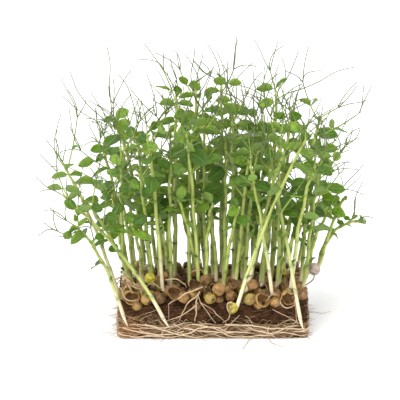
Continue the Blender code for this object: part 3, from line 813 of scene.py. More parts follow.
# A kind of thread: lengths, slope, how far proud of the wall and radii, in millimetres, then the points
# round one, the tones, and how far one wanders up and down, as a share of its length.
Threads = namedtuple("Threads", "lengths slope proud thick around tones wander", defaults=(0.05,))
FINE_THREADS = Threads((10, 45), 0.16, (0.3, 1.1), (0.1, 0.26), 4, (0, 0.7))
THICK_THREADS = Threads((10, 36), 0.3, (1.0, 2.4), (0.22, 0.5), 6, (0.5, 1), 0.09)
STEEP_THREADS = Threads((5, 16), 1.0, (1.0, 2.4), (0.12, 0.32), 5, (0.3, 1))
STRAY_THREADS = Threads((6, 30), 0.5, (0.3, 1.0), (0.08, 0.18), 4, (0, 0.5))
FUZZ_THREADS = Threads((5, 18), 0.8, (0.4, 1.6), (0.08, 0.18), 4, (0, 0.6))
CORNER_THREADS = Threads((4, 16), 0.5, (0.3, 1.5), (0.09, 0.24), 4, (0.1, 0.6))
THREAD_CORNER = 4 * MM
THREAD_POINTS = 14
THREAD_DIP = 0.5 * MM


def wall_threads(kind, count, box, heights, random, runs=None):
    """Threads of a kind that run along the block's wall, and dip into it at both ends.

    Along the run, height is a start plus a slope and a slow wander, kept between heights; the distance
    proud of the wall rises from below the surface as the root of a half sine. runs limits the starts.
    """
    (length, depth), corner = box, THREAD_CORNER
    lengths, proud, thick = (np.multiply(pair, MM) for pair in (kind.lengths, kind.proud, kind.thick))
    t = np.linspace(0, 1, THREAD_POINTS)
    reach = random.uniform(*lengths, (count, 1)) * random.choice([-1, 1], (count, 1))
    bend = random.uniform(-1, 1, (count, 2, 1))
    run = random.uniform(*(runs or (0, wall_run(length, depth, corner))), (count, 1)) + reach * t
    rise = random.uniform(*heights, (count, 1))
    rise = rise + kind.slope * random.normal(size=(count, 1)) * np.abs(reach) * (t - 0.5)
    bow = bend[:, 0] * np.sin(math.pi * t) + bend[:, 1] * np.sin(2 * math.pi * t)
    rise = rise + bow * kind.wander * np.abs(reach)
    rise = np.clip(rise, heights[0], heights[1] + 2 * MM * np.sin(math.pi * t))
    place, out = wall_at(run, length, depth, corner)
    stand = random.uniform(*proud, (count, 1)) * np.sqrt(np.sin(math.pi * t * 0.998 + 0.001)) - THREAD_DIP
    paths = np.concatenate([place + stand[..., None] * out, rise[..., None]], -1)
    radii = random.uniform(*thick, (count, 1)) * (1 - 0.45 * np.abs(2 * t - 1))
    return tubes(paths, radii, kind.around, tone=random.uniform(*kind.tones, (count, 1)))


# ---------------------------------------------------------------- places chosen one by one, in millimetres

# Peas that show in front: centre x, y, z, radius, tone. Tone runs from dark brown over tan to yellow.
FRONT_PEAS = (
    (4, -43, 34, 4.9, 0.50),
    (-2, -46, 28.5, 4.3, 0.74),
    (25, -46, 28, 4.7, 0.74),
    (27, -42, 37, 4.2, 0.45),
    (42, -46.5, 26, 4.1, 0.52),
    (-45, -46, 28, 4.3, 0.60),
    (-20, -45, 29, 4.3, 0.42),
    (-43, -30, 38, 4.6, 1.00),
    (-58, -40, 37, 4.4, 0.58),
    (-33, -30, 41, 4.4, 0.30),
    (-5, -34, 38, 4.3, 0.35),
    (48, -10, 37, 4.0, 0.85),
    (-36, -44, 28, 4.3, 0.15),
    (12, -43, 29, 4.0, 0.28),
    (56, -44, 30, 4.0, 0.20),
    (60.5, -41, 30, 4.3, 0.30),
)
# Burst seed skins: centre x, y, z, radius, the way that the mouth faces x, y, z, the mouth's angle, tone.
SPLIT_SKINS = (
    (-55.5, -45, 29, 5.4, 0.05, -1.0, 0.15, 2.0, 0.55),
    (-26, -47, 32.5, 4.8, 0.3, -1.0, 0.2, 1.9, 0.35),
    (33.5, -47, 27.5, 5.0, 0.6, -0.9, 0.45, 2.0, 0.55),
    (51.5, -46, 29, 5.2, 0.2, -1.0, -0.2, 1.8, 0.50),
    (-12, -40, 36, 4.4, -0.4, -0.7, 0.6, 1.8, 0.20),
    (14, -38, 37, 4.2, 0.2, -0.6, 0.8, 1.7, 0.25),
    (-50, 10, 30, 4.3, -0.5, 0.3, 0.9, 1.8, 0.30),
    (40, 30, 30, 4.4, 0.2, 0.6, 0.9, 1.8, 0.40),
)
# First roots, arching out of the peas: radius at the start and at the end, then x, y, z waypoints.
FIRST_ROOTS = (
    (0.44, 0.34, (-61, -46, 29), (-60.5, -47.5, 35), (-57, -48.5, 39), (-53, -48.5, 39.5),
     (-50, -48, 37), (-48, -46, 30)),
    (0.55, 0.4, (-62, -45, 36), (-60, -48.5, 30), (-56, -49.5, 28), (-50, -48, 28.5)),
    (0.65, 0.5, (-65, -44, 41), (-61, -47, 44), (-57, -49, 42), (-55, -49.3, 38.5), (-51, -49, 36.5),
     (-46, -45, 35)),
    (0.8, 0.7, (-60, -38, 46), (-58.5, -42, 42), (-56.5, -45.5, 37), (-54.5, -45, 32)),
    (0.7, 0.6, (-50, -36, 46), (-49, -41, 41), (-48.5, -44.5, 35), (-48, -43, 30)),
    (0.34, 0.24, (-49, -46, 35), (-45, -48, 38.5), (-40, -48.5, 39.5), (-37, -47.5, 37), (-35, -45, 34)),
    (0.51, 0.34, (-32, -42, 40), (-25, -46, 42), (-20, -47, 39), (-18, -44, 35)),
    (0.41, 0.31, (-16, -38, 43), (-12, -42, 47), (-8, -42, 47.5), (-6, -38, 44)),
    (0.37, 0.27, (36, -47, 27), (40, -49, 32), (44, -48.5, 31), (45, -45, 27)),
    (0.48, 0.34, (47, -46, 31), (45.5, -49, 27), (48, -50, 23.5), (53, -49, 23), (57, -45, 25)),
    (0.5, 0.35, (70, -2, 35), (69, -4, 31), (66, -5, 28), (62, -5, 25), (58, -5, 22)),
    (0.34, 0.24, (58, -46, 33), (55, -49, 36), (51, -49, 36.5), (49, -45, 33)),
)
# Roots that hang down the front, from the peas to the mat.
HANGING_ROOTS = (
    (0.51, 0.27, (-7, -46, 37), (-11, -49, 36), (-17, -49, 33), (-23, -49, 30), (-27, -48, 27.5),
     (-30, -46, 24)),
    (0.58, 0.24, (-9, -47, 33), (-11, -48.5, 30.5), (-17, -48, 26), (-20, -47, 20), (-23, -46, 13)),
    (0.41, 0.2, (-10, -47, 26), (-19, -47.5, 18), (-25, -47, 15), (-31, -46, 12)),
    (0.54, 0.37, (-9.5, -47.5, 32), (-11, -48, 27), (-11.5, -47.5, 20), (-12, -46, 12)),
    (0.31, 0.17, (-10, -47.5, 31), (-7, -47, 24), (-3, -46.5, 17), (2, -46, 11)),
    (0.24, 0.14, (-8, -47, 26), (0, -46.5, 20), (6, -46.5, 14), (10, -46, 8)),
    (0.2, 0.14, (-36, -45, 21.5), (-41, -46.3, 20), (-46, -45, 18)),
    (0.17, 0.14, (-30, -45.5, 24), (-30.5, -46, 19), (-30, -45.5, 13)),
    (0.51, 0.2, (12, -51.5, 27), (9.4, -52, 26), (9.2, -51.5, 22), (11, -50, 18), (10, -47.8, 14),
     (6, -46, 11)),
    (0.24, 0.17, (55, -46, 30), (56, -47, 23), (56.5, -46.5, 16), (57.5, -46, 11)),
    (0.27, 0.17, (40, -45.5, 20.5), (45, -46.5, 18.5), (51, -46.5, 15), (57, -46.5, 12), (62, -46, 9)),
    (0.2, 0.14, (22, -45.5, 16), (25, -46.8, 13), (27, -46.8, 9), (33, -46.5, 3)),
    (0.31, 0.17, (18, -45.5, 17), (14, -47, 13), (9, -47.2, 7.5), (2, -47, 4), (-7, -46.5, 1.2)),
)
# Long pale roots on the face of the mat.
MAT_ROOTS = (
    (0.62, 0.35, (-61, -46, 7.5), (-54, -47, 5.5), (-45, -47.2, 4), (-36, -47.2, 3), (-28, -47, 3.5),
     (-20, -46, 5)),
    (0.57, 0.30, (-46, -46, 10), (-40, -47, 8), (-32, -47.3, 5.5), (-24, -47.3, 3.2), (-15, -47, 1.8),
     (-6, -46, 1.5)),
    (0.52, 0.35, (8, -46, 9.5), (18, -47, 9.3), (30, -47, 8.8), (42, -47, 7.5), (52, -46.8, 7),
     (62, -46, 7.5)),
    (0.47, 0.30, (-20, -46, 7), (-10, -47.2, 6), (2, -47.3, 4.8), (14, -47.2, 5.3), (26, -46, 4)),
    (0.52, 0.30, (30, -46, 2), (38, -47, 3.5), (47, -47.2, 4.5), (58, -46, 3)),
    (0.42, 0.25, (-30, -46, 9.5), (-34, -47.2, 6), (-35, -47.2, 3), (-33, -46.5, 0.8)),
    (0.36, 0.22, (38, -46, 9), (37, -47.2, 6), (40, -47.2, 3), (42, -46.5, 0.8)),
    (0.36, 0.22, (-50, -46, 6), (-46, -47, 4), (-44, -46.8, 2), (-43, -46.6, 0.8)),
    (0.4, 0.28, (-52, -46, 9.5), (-44, -47.5, 9.8), (-36, -47.8, 7.8), (-29, -47.8, 8.6),
     (-21, -46.5, 10)),
    (0.44, 0.28, (-24, -46, 2), (-16, -47.8, 4.6), (-8, -48, 8), (0, -48, 8.8), (9, -47.5, 6),
     (18, -46, 5)),
    (0.4, 0.28, (-14, -46, 9.5), (-4, -47.8, 9.2), (6, -48, 5.5), (14, -48, 2.6), (24, -47.8, 1.8),
     (34, -46, 3)),
    (0.4, 0.24, (22, -46, 8.5), (32, -47.6, 5.4), (42, -47.8, 5), (50, -47.6, 8), (58, -46, 9.6)),
    (0.44, 0.28, (-64, -44, 3), (-59, -47.4, 2.2), (-50, -48, 1.6), (-40, -48, 2.6),
     (-31, -47.8, 1.4), (-22, -46, 2)),
)
# Hairs that lie in front of the block and at its ends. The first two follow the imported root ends.
FLOOR_HAIRS = (
    (0.26, 0.12, (27, -45, 1.5), (25, -51, 0.7), (23, -58, 0.4), (21.5, -66, 0.4), (20.5, -73, 0.4),
     (24, -77, 0.4), (33, -85, 0.4)),
    (0.26, 0.12, (36.5, -45, 1.5), (38, -50, 0.7), (40, -57, 0.4), (45, -64, 0.4), (52, -68, 0.4),
     (60, -72, 0.4)),
    (0.2, 0.12, (61, -44, 1.4), (65, -50, 1.0), (70, -58, 0.7), (75, -56, 1.2), (79, -45, 3.5)),
    (0.2, 0.12, (-62, -42, 1.4), (-68, -41, 2.2), (-74, -37, 2.5), (-77, -43, 1.2), (-73, -50, 0.5)),
    (0.2, 0.12, (-30, -45, 0.8), (-34, -49, 0.4), (-36, -54, 0.4), (-42, -56, 0.4)),
    (0.18, 0.12, (64, 18, 1.2), (70, 20, 0.5), (76, 16, 0.4), (82, 19, 0.4)),
    (0.18, 0.12, (-10, 45, 1.2), (-14, 51, 0.5), (-9, 57, 0.4), (-12, 63, 0.4)),
    (0.18, 0.12, (-64, 12, 1.2), (-71, 10, 0.5), (-76, 14, 0.4)),
)
# Long single tendrils that stand out of the crowd: owner's number, radius near the foot, waypoints.
LONG_TENDRILS = (
    (1, 0.36, (-91, -46, 76), (-96, -47, 74), (-101, -47.5, 72.5), (-107, -48, 73)),
    (6, 0.42, (-67, 12, 132), (-68.5, 10, 139), (-69.5, 8, 150), (-70.5, 7, 165), (-70, 6, 180),
     (-72, 5, 192)),
    (6, 0.34, (-67, 12, 134), (-76, 8, 142), (-86, 5, 152), (-93, 3, 163), (-97, 2, 175)),
    (7, 0.36, (-52, -2, 130), (-52, -3, 143), (-55, -4, 157), (-59, -5, 168), (-64, -6, 175)),
    (6, 0.32, (-68, 12, 134), (-80, 14, 138), (-93, 15, 146), (-103, 16, 155)),
    (9, 0.40, (-12, 10, 157), (-15, 11, 170), (-13, 12, 182), (-12, 12, 192)),
    (11, 0.36, (-25, 0, 156), (-24, 1, 166), (-27, 2, 176), (-29, 3, 184)),
    (14, 0.40, (43, 0, 156), (50, 1, 160), (60, 2, 163), (72, 3, 168), (84, 3, 175), (96, 4, 178)),
    (19, 0.38, (98, 17, 65), (102, 14, 69), (106, 12, 71), (111, 10, 70)),
)


# ---------------------------------------------------------------- finishes


def srgb(red, green, blue):
    """A colour given as shown on a screen, 0 to 255, in the renderer's linear light."""
    shares = np.array([red, green, blue]) / 255
    return tuple(np.where(shares <= 0.04045, shares / 12.92, ((shares + 0.055) / 1.055) ** 2.4))


def wire(tree, kind, inputs, **settings):
    """A shader node whose inputs are each joined to another node's output or set to a value."""
    made = tree.nodes.new(kind if kind.startswith("NodeGroup") else "ShaderNode" + kind)
    for name, value in settings.items():
        setattr(made, name, value)
    for name, value in inputs.items():
        if isinstance(value, bpy.types.NodeSocket):
            tree.links.new(value, made.inputs[name])
        else:
            made.inputs[name].default_value = value
    return made


def mixed(tree, share, low, high, blend="MIX"):
    """Two colours mixed by a share. A colour is an output or three numbers."""
    low, high = ((*c, 1) if not isinstance(c, bpy.types.NodeSocket) else c for c in (low, high))
    return wire(tree, "Mix", {0: share, 6: low, 7: high}, data_type="RGBA", blend_type=blend).outputs[2]


def spread(tree, value, low, high, to_low=0.0, to_high=1.0):
    """A value's stretch from low to high, carried to another stretch and held at its ends."""
    inputs = {"Value": value, "From Min": low, "From Max": high, "To Min": to_low, "To Max": to_high}
    return wire(tree, "MapRange", inputs).outputs[0]


def sums(tree, operation, one, other):
    return wire(tree, "Math", {0: one, 1: other}, operation=operation).outputs[0]


def mark(tree, name):
    return wire(tree, "Attribute", {}, attribute_name=name).outputs["Fac"]


def ramp(tree, value, *stops):
    """A colour that follows a value through stops of (place, colour)."""
    made = wire(tree, "ValToRGB", {0: value})
    elements = made.color_ramp.elements
    while len(elements) < len(stops):
        elements.new(0.5)
    for element, (place, colour) in zip(elements, stops):
        element.position = place
        element.color = (*colour, 1)
    return made.outputs[0]


def new_group(name, inputs, outputs):
    """An empty shader node group with float or vector inputs and float outputs, and its two end nodes."""
    group = bpy.data.node_groups.new(name, "ShaderNodeTree")
    for socket, default in inputs.items():
        kind = "NodeSocketFloat" if isinstance(default, float) else "NodeSocketVector"
        made = group.interface.new_socket(name=socket, in_out="INPUT", socket_type=kind)
        made.default_value = default
    for socket in outputs:
        group.interface.new_socket(name=socket, in_out="OUTPUT", socket_type="NodeSocketFloat")
    return group, group.nodes.new("NodeGroupInput").outputs, group.nodes.new("NodeGroupOutput").inputs


@functools.cache
def mottle_group():
    """Two sizes of random patches: blotches of a size, and a grain five times as fine."""
    inputs = {"Place": (0.0, 0.0, 0.0), "Size": 0.004}
    group, given, out = new_group("mottle", inputs, ("Blotches", "Grain"))
    per_metre = sums(group, "DIVIDE", 1.0, given["Size"])
    for name, finer in (("Blotches", 1.0), ("Grain", 5.0)):
        scale = sums(group, "MULTIPLY", per_metre, finer)
        cloud = wire(group, "TexNoise", {"Vector": given["Place"], "Scale": scale, "Detail": 3.0})
        group.links.new(spread(group, cloud.outputs[0], 0.32, 0.68), out[name])
    return group


@functools.cache
def streak_group():
    """Fine streaks: random patches drawn out along an axis, by squeezing space along it beforehand."""
    inputs = {"Place": (0.0, 0.0, 0.0), "Squeeze": (1.0, 1.0, 0.1), "Size": 0.001}
    group, given, out = new_group("streaks", inputs, ("Streaks",))
    squeezed = {0: given["Place"], 1: given["Squeeze"]}
    place = wire(group, "VectorMath", squeezed, operation="MULTIPLY").outputs[0]
    scale = sums(group, "DIVIDE", 1.0, given["Size"])
    cloud = wire(group, "TexNoise", {"Vector": place, "Scale": scale, "Detail": 2.0})
    group.links.new(spread(group, cloud.outputs[0], 0.3, 0.7), out["Streaks"])
    return group


def placed(tree, group, **inputs):
    """A node group in a material, with this material's own values."""
    made = tree.nodes.new("ShaderNodeGroup")
    made.node_tree = group
    made.inputs["Place"].default_value = (0, 0, 0)
    tree.links.new(wire(tree, "TexCoord", {}).outputs["Object"], made.inputs["Place"])
    for name, value in inputs.items():
        made.inputs[name].default_value = value
    return made.outputs


def new_finish(name, patch):
    """A material, its nodes, its Principled shader, random patches of a size, and the colours to mix."""
    finish = bpy.data.materials.new(name)
    finish.use_nodes = True
    tree = finish.node_tree
    mottle = placed(tree, mottle_group(), Size=patch)
    return finish, tree, tree.nodes["Principled BSDF"], mottle, bpy.context.scene.pea_shoot_colours


def strayed(tree, name, mottle, stray):
    """A mark that the blotches move by up to stray either way."""
    return sums(tree, "ADD", mark(tree, name), spread(tree, mottle["Blotches"], 0, 1, -stray, stray))


def finish_with(tree, shader, colour, roughness, height=None, depth=0.0, **constants):
    """Joins colour, roughness and a bump of a depth in metres to the shader, and sets its constants."""
    tree.links.new(colour, shader.inputs["Base Color"])
    if isinstance(roughness, bpy.types.NodeSocket):
        tree.links.new(roughness, shader.inputs["Roughness"])
    else:
        shader.inputs["Roughness"].default_value = roughness
    if height is not None:
        bump = wire(tree, "Bump", {"Height": height, "Distance": depth, "Strength": 1.0})
        tree.links.new(bump.outputs[0], shader.inputs["Normal"])
    for socket, value in constants.items():
        shader.inputs[socket.replace("_", " ")].default_value = value


@functools.cache
def leaf_finish():
    """Leaf green, each leaf its own, paler underneath, with a pale midrib and fine side veins."""
    finish, tree, shader, mottle, colours = new_finish("leaf_green", 0.003)
    along, across, under = (mark(tree, name) for name in ("along", "across", "under"))
    out = sums(tree, "ABSOLUTE", across, 0.0)
    own = strayed(tree, "tone", mottle, 0.18)
    middle = (0.55, colours.leaf_middle)
    green = ramp(tree, own, (0.0, colours.leaf_dark), middle, (1.0, colours.leaf_light))
    green = mixed(tree, spread(tree, under, 0, 1, 0, 0.5), green, colours.leaf_under)
    slant = sums(tree, "SUBTRACT", sums(tree, "MULTIPLY", along, 8.0), sums(tree, "MULTIPLY", out, 2.6))
    wave = sums(tree, "ABSOLUTE", sums(tree, "SUBTRACT", sums(tree, "FRACT", slant, 0.0), 0.5), 0.0)
    side_veins = spread(tree, wave, 0.0, 0.13, 0.5, 0.0)
    midrib = spread(tree, out, 0.03, 0.13, 1.0, 0.0)
    veins = sums(tree, "MAXIMUM", side_veins, midrib)
    green = mixed(tree, sums(tree, "MULTIPLY", veins, 0.28), green, colours.leaf_vein)
    green = mixed(tree, spread(tree, out, 0.9, 1.0, 0.0, 0.35), green, colours.leaf_vein)
    rough = spread(tree, mottle["Grain"], 0, 1, 0.38, 0.55)
    shine = {"Specular_IOR_Level": 0.3, "Subsurface_Weight": 0.3}
    glow = {"Subsurface_Scale": 0.003, "Subsurface_Radius": (0.7, 1.0, 0.25)}
    height = sums(tree, "SUBTRACT", mottle["Grain"], veins)
    finish_with(tree, shader, green, rough, height, 0.00008, **shine, **glow)
    return finish


@functools.cache
def stem_finish():
    """Stems: cream where they leave the pea, then yellow-green, then green, with fine lengthwise streaks."""
    finish, tree, shader, mottle, colours = new_finish("stem_green", 0.008)
    streaks = placed(tree, streak_group(), Size=0.0006, Squeeze=(1.0, 1.0, 0.06))["Streaks"]
    rise = strayed(tree, "rise", mottle, 0.05)
    foot, low = (0.08, colours.stem_foot), (0.19, colours.stem_low)
    green = ramp(tree, rise, foot, low, (0.42, colours.stem_middle), (1.0, colours.stem_top))
    own = spread(tree, mark(tree, "tone"), 0, 1, 0, 0.24)
    green = mixed(tree, own, green, colours.leaf_light, "MULTIPLY")
    green = mixed(tree, spread(tree, streaks, 0, 1, 0, 0.12), green, colours.stem_foot)
    green = mixed(tree, spread(tree, mark(tree, "joint"), 0.2, 1, 0, 0.55), green, colours.leaf_middle)
    glow = {"Subsurface_Weight": 0.25, "Subsurface_Scale": 0.003, "Subsurface_Radius": (0.9, 1.0, 0.35)}
    finish_with(tree, shader, green, 0.42, streaks, 0.00006, Specular_IOR_Level=0.3, **glow)
    return finish


@functools.cache
def tendril_finish():
    """Tendrils: green stalks that run out into thin grey-green arms."""
    finish, tree, shader, mottle, colours = new_finish("tendril_green", 0.005)
    along = strayed(tree, "along", mottle, 0.12)
    stalk = (0.4, colours.tendril_stalk)
    green = ramp(tree, along, (0.0, colours.stem_top), stalk, (1.0, colours.tendril_arm))
    finish_with(tree, shader, green, 0.5, mottle["Grain"], 0.00004, Specular_IOR_Level=0.2)
    return finish


@functools.cache
def pea_finish():
    """Soaked pea skin: its own tone from brown to yellow, blotched, dark at the eye, with painted shade in
    the creases and inside a burst skin.
    """
    finish, tree, shader, mottle, colours = new_finish("pea_skin", 0.0035)
    own = strayed(tree, "tone", mottle, 0.14)
    brown, tan, olive = (0.28, colours.pea_brown), (0.52, colours.pea_tan), (0.78, colours.pea_olive)
    skin = ramp(tree, own, (0.0, colours.pea_dark_and_crease_shade), brown, tan, olive, (1.0, colours.pea_yellow))
    skin = mixed(tree, spread(tree, mottle["Grain"], 0.55, 1, 0, 0.3), skin, colours.pea_pale)
    skin = mixed(tree, sums(tree, "MULTIPLY", mark(tree, "bloom"), 0.92), skin, colours.pea_bloom)
    # Painted shade: the creases, and the inside of a burst skin, darken towards the darkest pea colour.
    skin = mixed(tree, spread(tree, mark(tree, "crease"), 0, 1, 0, 0.6), skin, colours.pea_dark_and_crease_shade)
    skin = mixed(tree, mark(tree, "eye"), skin, colours.pea_dark_and_crease_shade)
    rough = spread(tree, mottle["Grain"], 0, 1, 0.32, 0.6)
    finish_with(tree, shader, skin, rough, mottle["Grain"], 0.0002, Specular_IOR_Level=0.3, Coat_Weight=0.1)
    return finish


@functools.cache
def thread_finish():
    """Roots: each thread its own tone from tan to cream, rusty round one corner of the block."""
    finish, tree, shader, mottle, colours = new_finish("root_threads", 0.004)
    own = strayed(tree, "tone", mottle, 0.25)
    pale = ramp(tree, own, (0.0, colours.root_brown), (0.4, colours.root_tan), (1.0, colours.root_cream))
    pale = mixed(tree, rust_mask(tree, 0.45), pale, colours.rust)
    finish_with(tree, shader, pale, 0.6, mottle["Grain"], 0.00006, Specular_IOR_Level=0.25)
    return finish


def rust_mask(tree, most):
    """A share that is highest at the rusty corner and falls to 0 over its reach."""
    place = wire(tree, "TexCoord", {}).outputs["Object"]
    away = wire(tree, "VectorMath", {0: place, 1: RUST_PLACE}, operation="DISTANCE").outputs["Value"]
    return spread(tree, away, RUST_REACH[0], RUST_REACH[1], most, 0.0)


@functools.cache
def felt_finish():
    """The mat between the threads: tan felt, streaked lengthwise, darker in random blotches."""
    finish, tree, shader, mottle, colours = new_finish("root_felt", 0.006)
    streaks = placed(tree, streak_group(), Size=0.0008, Squeeze=(0.12, 0.12, 1.0))["Streaks"]
    felt = mixed(tree, spread(tree, streaks, 0.2, 1, 0, 0.8), colours.peat_light, colours.root_tan)
    felt = mixed(tree, spread(tree, mottle["Blotches"], 0.3, 1, 0, 0.7), felt, colours.root_brown)
    felt = mixed(tree, rust_mask(tree, 0.7), felt, colours.rust)
    finish_with(tree, shader, felt, 0.9, streaks, 0.0003, Specular_IOR_Level=0.2)
    return finish


@functools.cache
def peat_finish():
    """Peat: nearly black to brown in random blotches, with paler grain and flecks of fibre."""
    finish, tree, shader, mottle, colours = new_finish("peat", 0.005)
    streaks = placed(tree, streak_group(), Size=0.0009, Squeeze=(0.2, 0.2, 1.0))["Streaks"]
    brown = mixed(tree, mottle["Blotches"], colours.peat_dark, colours.peat_middle)
    brown = mixed(tree, spread(tree, mottle["Grain"], 0.5, 1, 0, 0.6), brown, colours.peat_light)
    brown = mixed(tree, spread(tree, streaks, 0.75, 1, 0, 0.7), brown, colours.peat_light)
    finish_with(tree, shader, brown, 0.95, mottle["Grain"], 0.0005, Specular_IOR_Level=0.15)
    return finish


@functools.cache
def floor_finish():
    """A plain pale floor, its colour barely uneven."""
    finish, tree, shader, mottle, colours = new_finish("pale_floor", 0.4)
    pale = mixed(tree, spread(tree, mottle["Blotches"], 0, 1, 0, 0.02), colours.floor, (0.5, 0.5, 0.5))
    finish_with(tree, shader, pale, 0.9)
    return finish


RUST_PLACE = (-0.056, -0.046, 0.009)
RUST_REACH = (0.004, 0.013)


# ---------------------------------------------------------------- what a user may change


def length_setting(name, description, default):
    return bpy.props.FloatProperty(
        name=name, description=description, default=default, min=0.0, unit="LENGTH", precision=5
    )


def count_setting(name, description, default):
    return bpy.props.IntProperty(name=name, description=description, default=default, min=0)


def colour_setting(name, description, red, green, blue):
    return bpy.props.FloatVectorProperty(
        name=name, description=description, default=srgb(red, green, blue), min=0, max=1, subtype="COLOR"
    )


class PeaShootSizes(bpy.types.PropertyGroup):
    """Sizes and numbers of the fine pieces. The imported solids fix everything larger."""

    leaf_thickness: length_setting("Leaf thickness", "Thickness of a blade at its midrib", 0.28 * MM)
    leaf_fullness: bpy.props.FloatProperty(
        name="Leaf fullness", description="Length of a leaf over the length of its plain blade", default=1.02
    )
    leaf_fold: bpy.props.FloatProperty(
        name="Leaf fold", description="How far the halves of a blade fold up", default=0.3, subtype="ANGLE"
    )
    arm_radius: length_setting("Tendril arm radius", "Radius of an arm where it forks off", 0.42 * MM)
    peat_roughness: length_setting("Peat roughness", "How far the peat's lumps stand out", 1.1 * MM)
    felt_roughness: length_setting("Mat roughness", "How far the mat's lumps stand out", 0.7 * MM)
    wall_threads: count_setting("Wall threads", "Fine roots felted round the mat's wall", 620)
    peat_threads: count_setting("Peat threads", "Fine roots in the peat's wall", 80)
    crumbs: count_setting("Crumbs", "Loose crumbs on and round the peat", 520)
    filling_peas: count_setting("Filling peas", "Peas between those that grew shoots", 96)


class PeaShootColours(bpy.types.PropertyGroup):
    """The colours that the finishes mix."""

    leaf_dark: colour_setting("Dark leaf", "The darkest leaves", 42, 72, 10)
    leaf_middle: colour_setting("Leaf", "Most leaves", 63, 97, 18)
    leaf_light: colour_setting("Light leaf", "The youngest leaves", 114, 147, 48)
    leaf_under: colour_setting("Leaf underside", "The underside of a leaf", 120, 146, 78)
    leaf_vein: colour_setting("Leaf veins", "Midrib, side veins and edge of a leaf", 124, 152, 62)
    stem_foot: colour_setting("Stem foot", "A stem where it leaves the pea", 230, 214, 182)
    stem_low: colour_setting("Low stem", "A stem a little higher", 188, 196, 124)
    stem_middle: colour_setting("Middle stem", "Half way up a stem", 164, 176, 86)
    stem_top: colour_setting("Stem top", "A stem near its tip", 160, 176, 84)
    tendril_stalk: colour_setting("Tendril stalk", "The stalk of a tendril", 92, 114, 46)
    tendril_arm: colour_setting("Tendril arm", "The thin arms of a tendril", 102, 108, 80)
    # The darkest pea colour is also the painted shade in the creases and inside burst skins.
    pea_dark_and_crease_shade: colour_setting("Dark pea", "The darkest seed skin, its creases and its eye", 66, 44, 18)
    pea_brown: colour_setting("Brown pea", "Brown seed skin", 116, 84, 46)
    pea_tan: colour_setting("Tan pea", "Tan to orange seed skin", 168, 126, 74)
    pea_olive: colour_setting("Olive pea", "Olive seed skin", 150, 134, 66)
    pea_yellow: colour_setting("Yellow pea", "Yellow seed without its skin", 208, 196, 62)
    pea_pale: colour_setting("Pale pea", "Pale flecks in the skin", 206, 170, 124)
    pea_bloom: colour_setting("Pink pea", "Greyish pink seed skin", 216, 196, 184)
    root_cream: colour_setting("Cream root", "The palest roots", 208, 184, 154)
    root_tan: colour_setting("Tan root", "Tan roots", 158, 130, 94)
    root_brown: colour_setting("Brown root", "The darkest roots", 98, 72, 50)
    rust: colour_setting("Rust", "The rusty corner of the mat", 176, 124, 80)
    peat_dark: colour_setting("Dark peat", "Peat in its hollows", 42, 26, 16)
    peat_middle: colour_setting("Peat", "Most of the peat", 80, 52, 32)
    peat_light: colour_setting("Light peat", "Fibres and dry crumbs", 108, 76, 50)
    floor: colour_setting("Floor", "The floor", 246, 246, 246)


# ---------------------------------------------------------------- the pieces


def block_box(node):
    """A packed block's length, depth, low and high, in metres."""
    low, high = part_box(node)
    return high.x - low.x, high.y - low.y, low.z, high.z


TIP_SLACK = 1.5 * MM


@functools.cache
def grown():
    """The plants and the room that they leave, after a check that each lies on its own solid."""
    plants, room = grow_plants()
    for number, plant in enumerate(plants, 1):
        low, high = (np.array(corner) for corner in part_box(f"plant_{number:02d}"))
        tip = plant.controls[3]
        if np.any(tip < low - TIP_SLACK) or np.any(tip > high + TIP_SLACK):
            raise RuntimeError(f"plant {number} doesn't lie on its solid: the two grew differently")
    return plants, room


# The round corners that the peat and the mat share.
BLOCK_CORNER = 5 * MM
# Plants whose feet are bare and white, with no pea.
ROOTED = (1, 4, 23)
# Where the roots have grown highest up the peat, as a stretch of the way round the block.
LEFT_CORNER = (-8 * MM, 24 * MM)


class PEASHOOTS_OT_peat(bpy.types.Operator):
    """Build the layer of peat, with its crumbs"""

    bl_idname = "peashoots.peat"
    bl_label = "Peat"

    def execute(self, context):
        sizes = context.scene.pea_shoot_sizes
        random = draws("peat")
        length, depth, low, high = block_box("peat_block")
        rough = sizes.peat_roughness
        rings = {"corner": BLOCK_CORNER, "edge": 2.5 * MM, "around": 380, "walls": 14, "tops": 22}
        block = slab(length - rough, depth - rough, low, high - 0.3 * rough, roughness=rough, **rings)
        add_piece("peat", block, [peat_finish()], "peat", "peat_block")
        count = sizes.crumbs
        run = random.uniform(0, wall_run(length, depth, BLOCK_CORNER), count)
        place, out = wall_at(run, length, depth, BLOCK_CORNER)
        proud = random.uniform(-0.6, 0.5, (count, 1)) * MM
        z = random.uniform(low + 1 * MM, high + 0.5 * MM, (count, 1))
        on_top = random.uniform(0, 1, (count, 1)) < 0.3
        inwards = random.uniform(0.3, 1, (count, 1))
        top, wall = np.hstack([place * inwards, 0 * z + high]), np.hstack([place + proud * out, z])
        centres = np.where(on_top, top, wall)
        radii = random.uniform(0.35, 1.0, count) ** 1.5 * 1.5 * MM
        crumbs = balls(centres, radii, levels=3, around=6, lumpiness=0.5, creases=0.1, random=random)
        add_piece("peat_crumbs", crumbs, [peat_finish()], "peat", "peat_block")
        return {"FINISHED"}


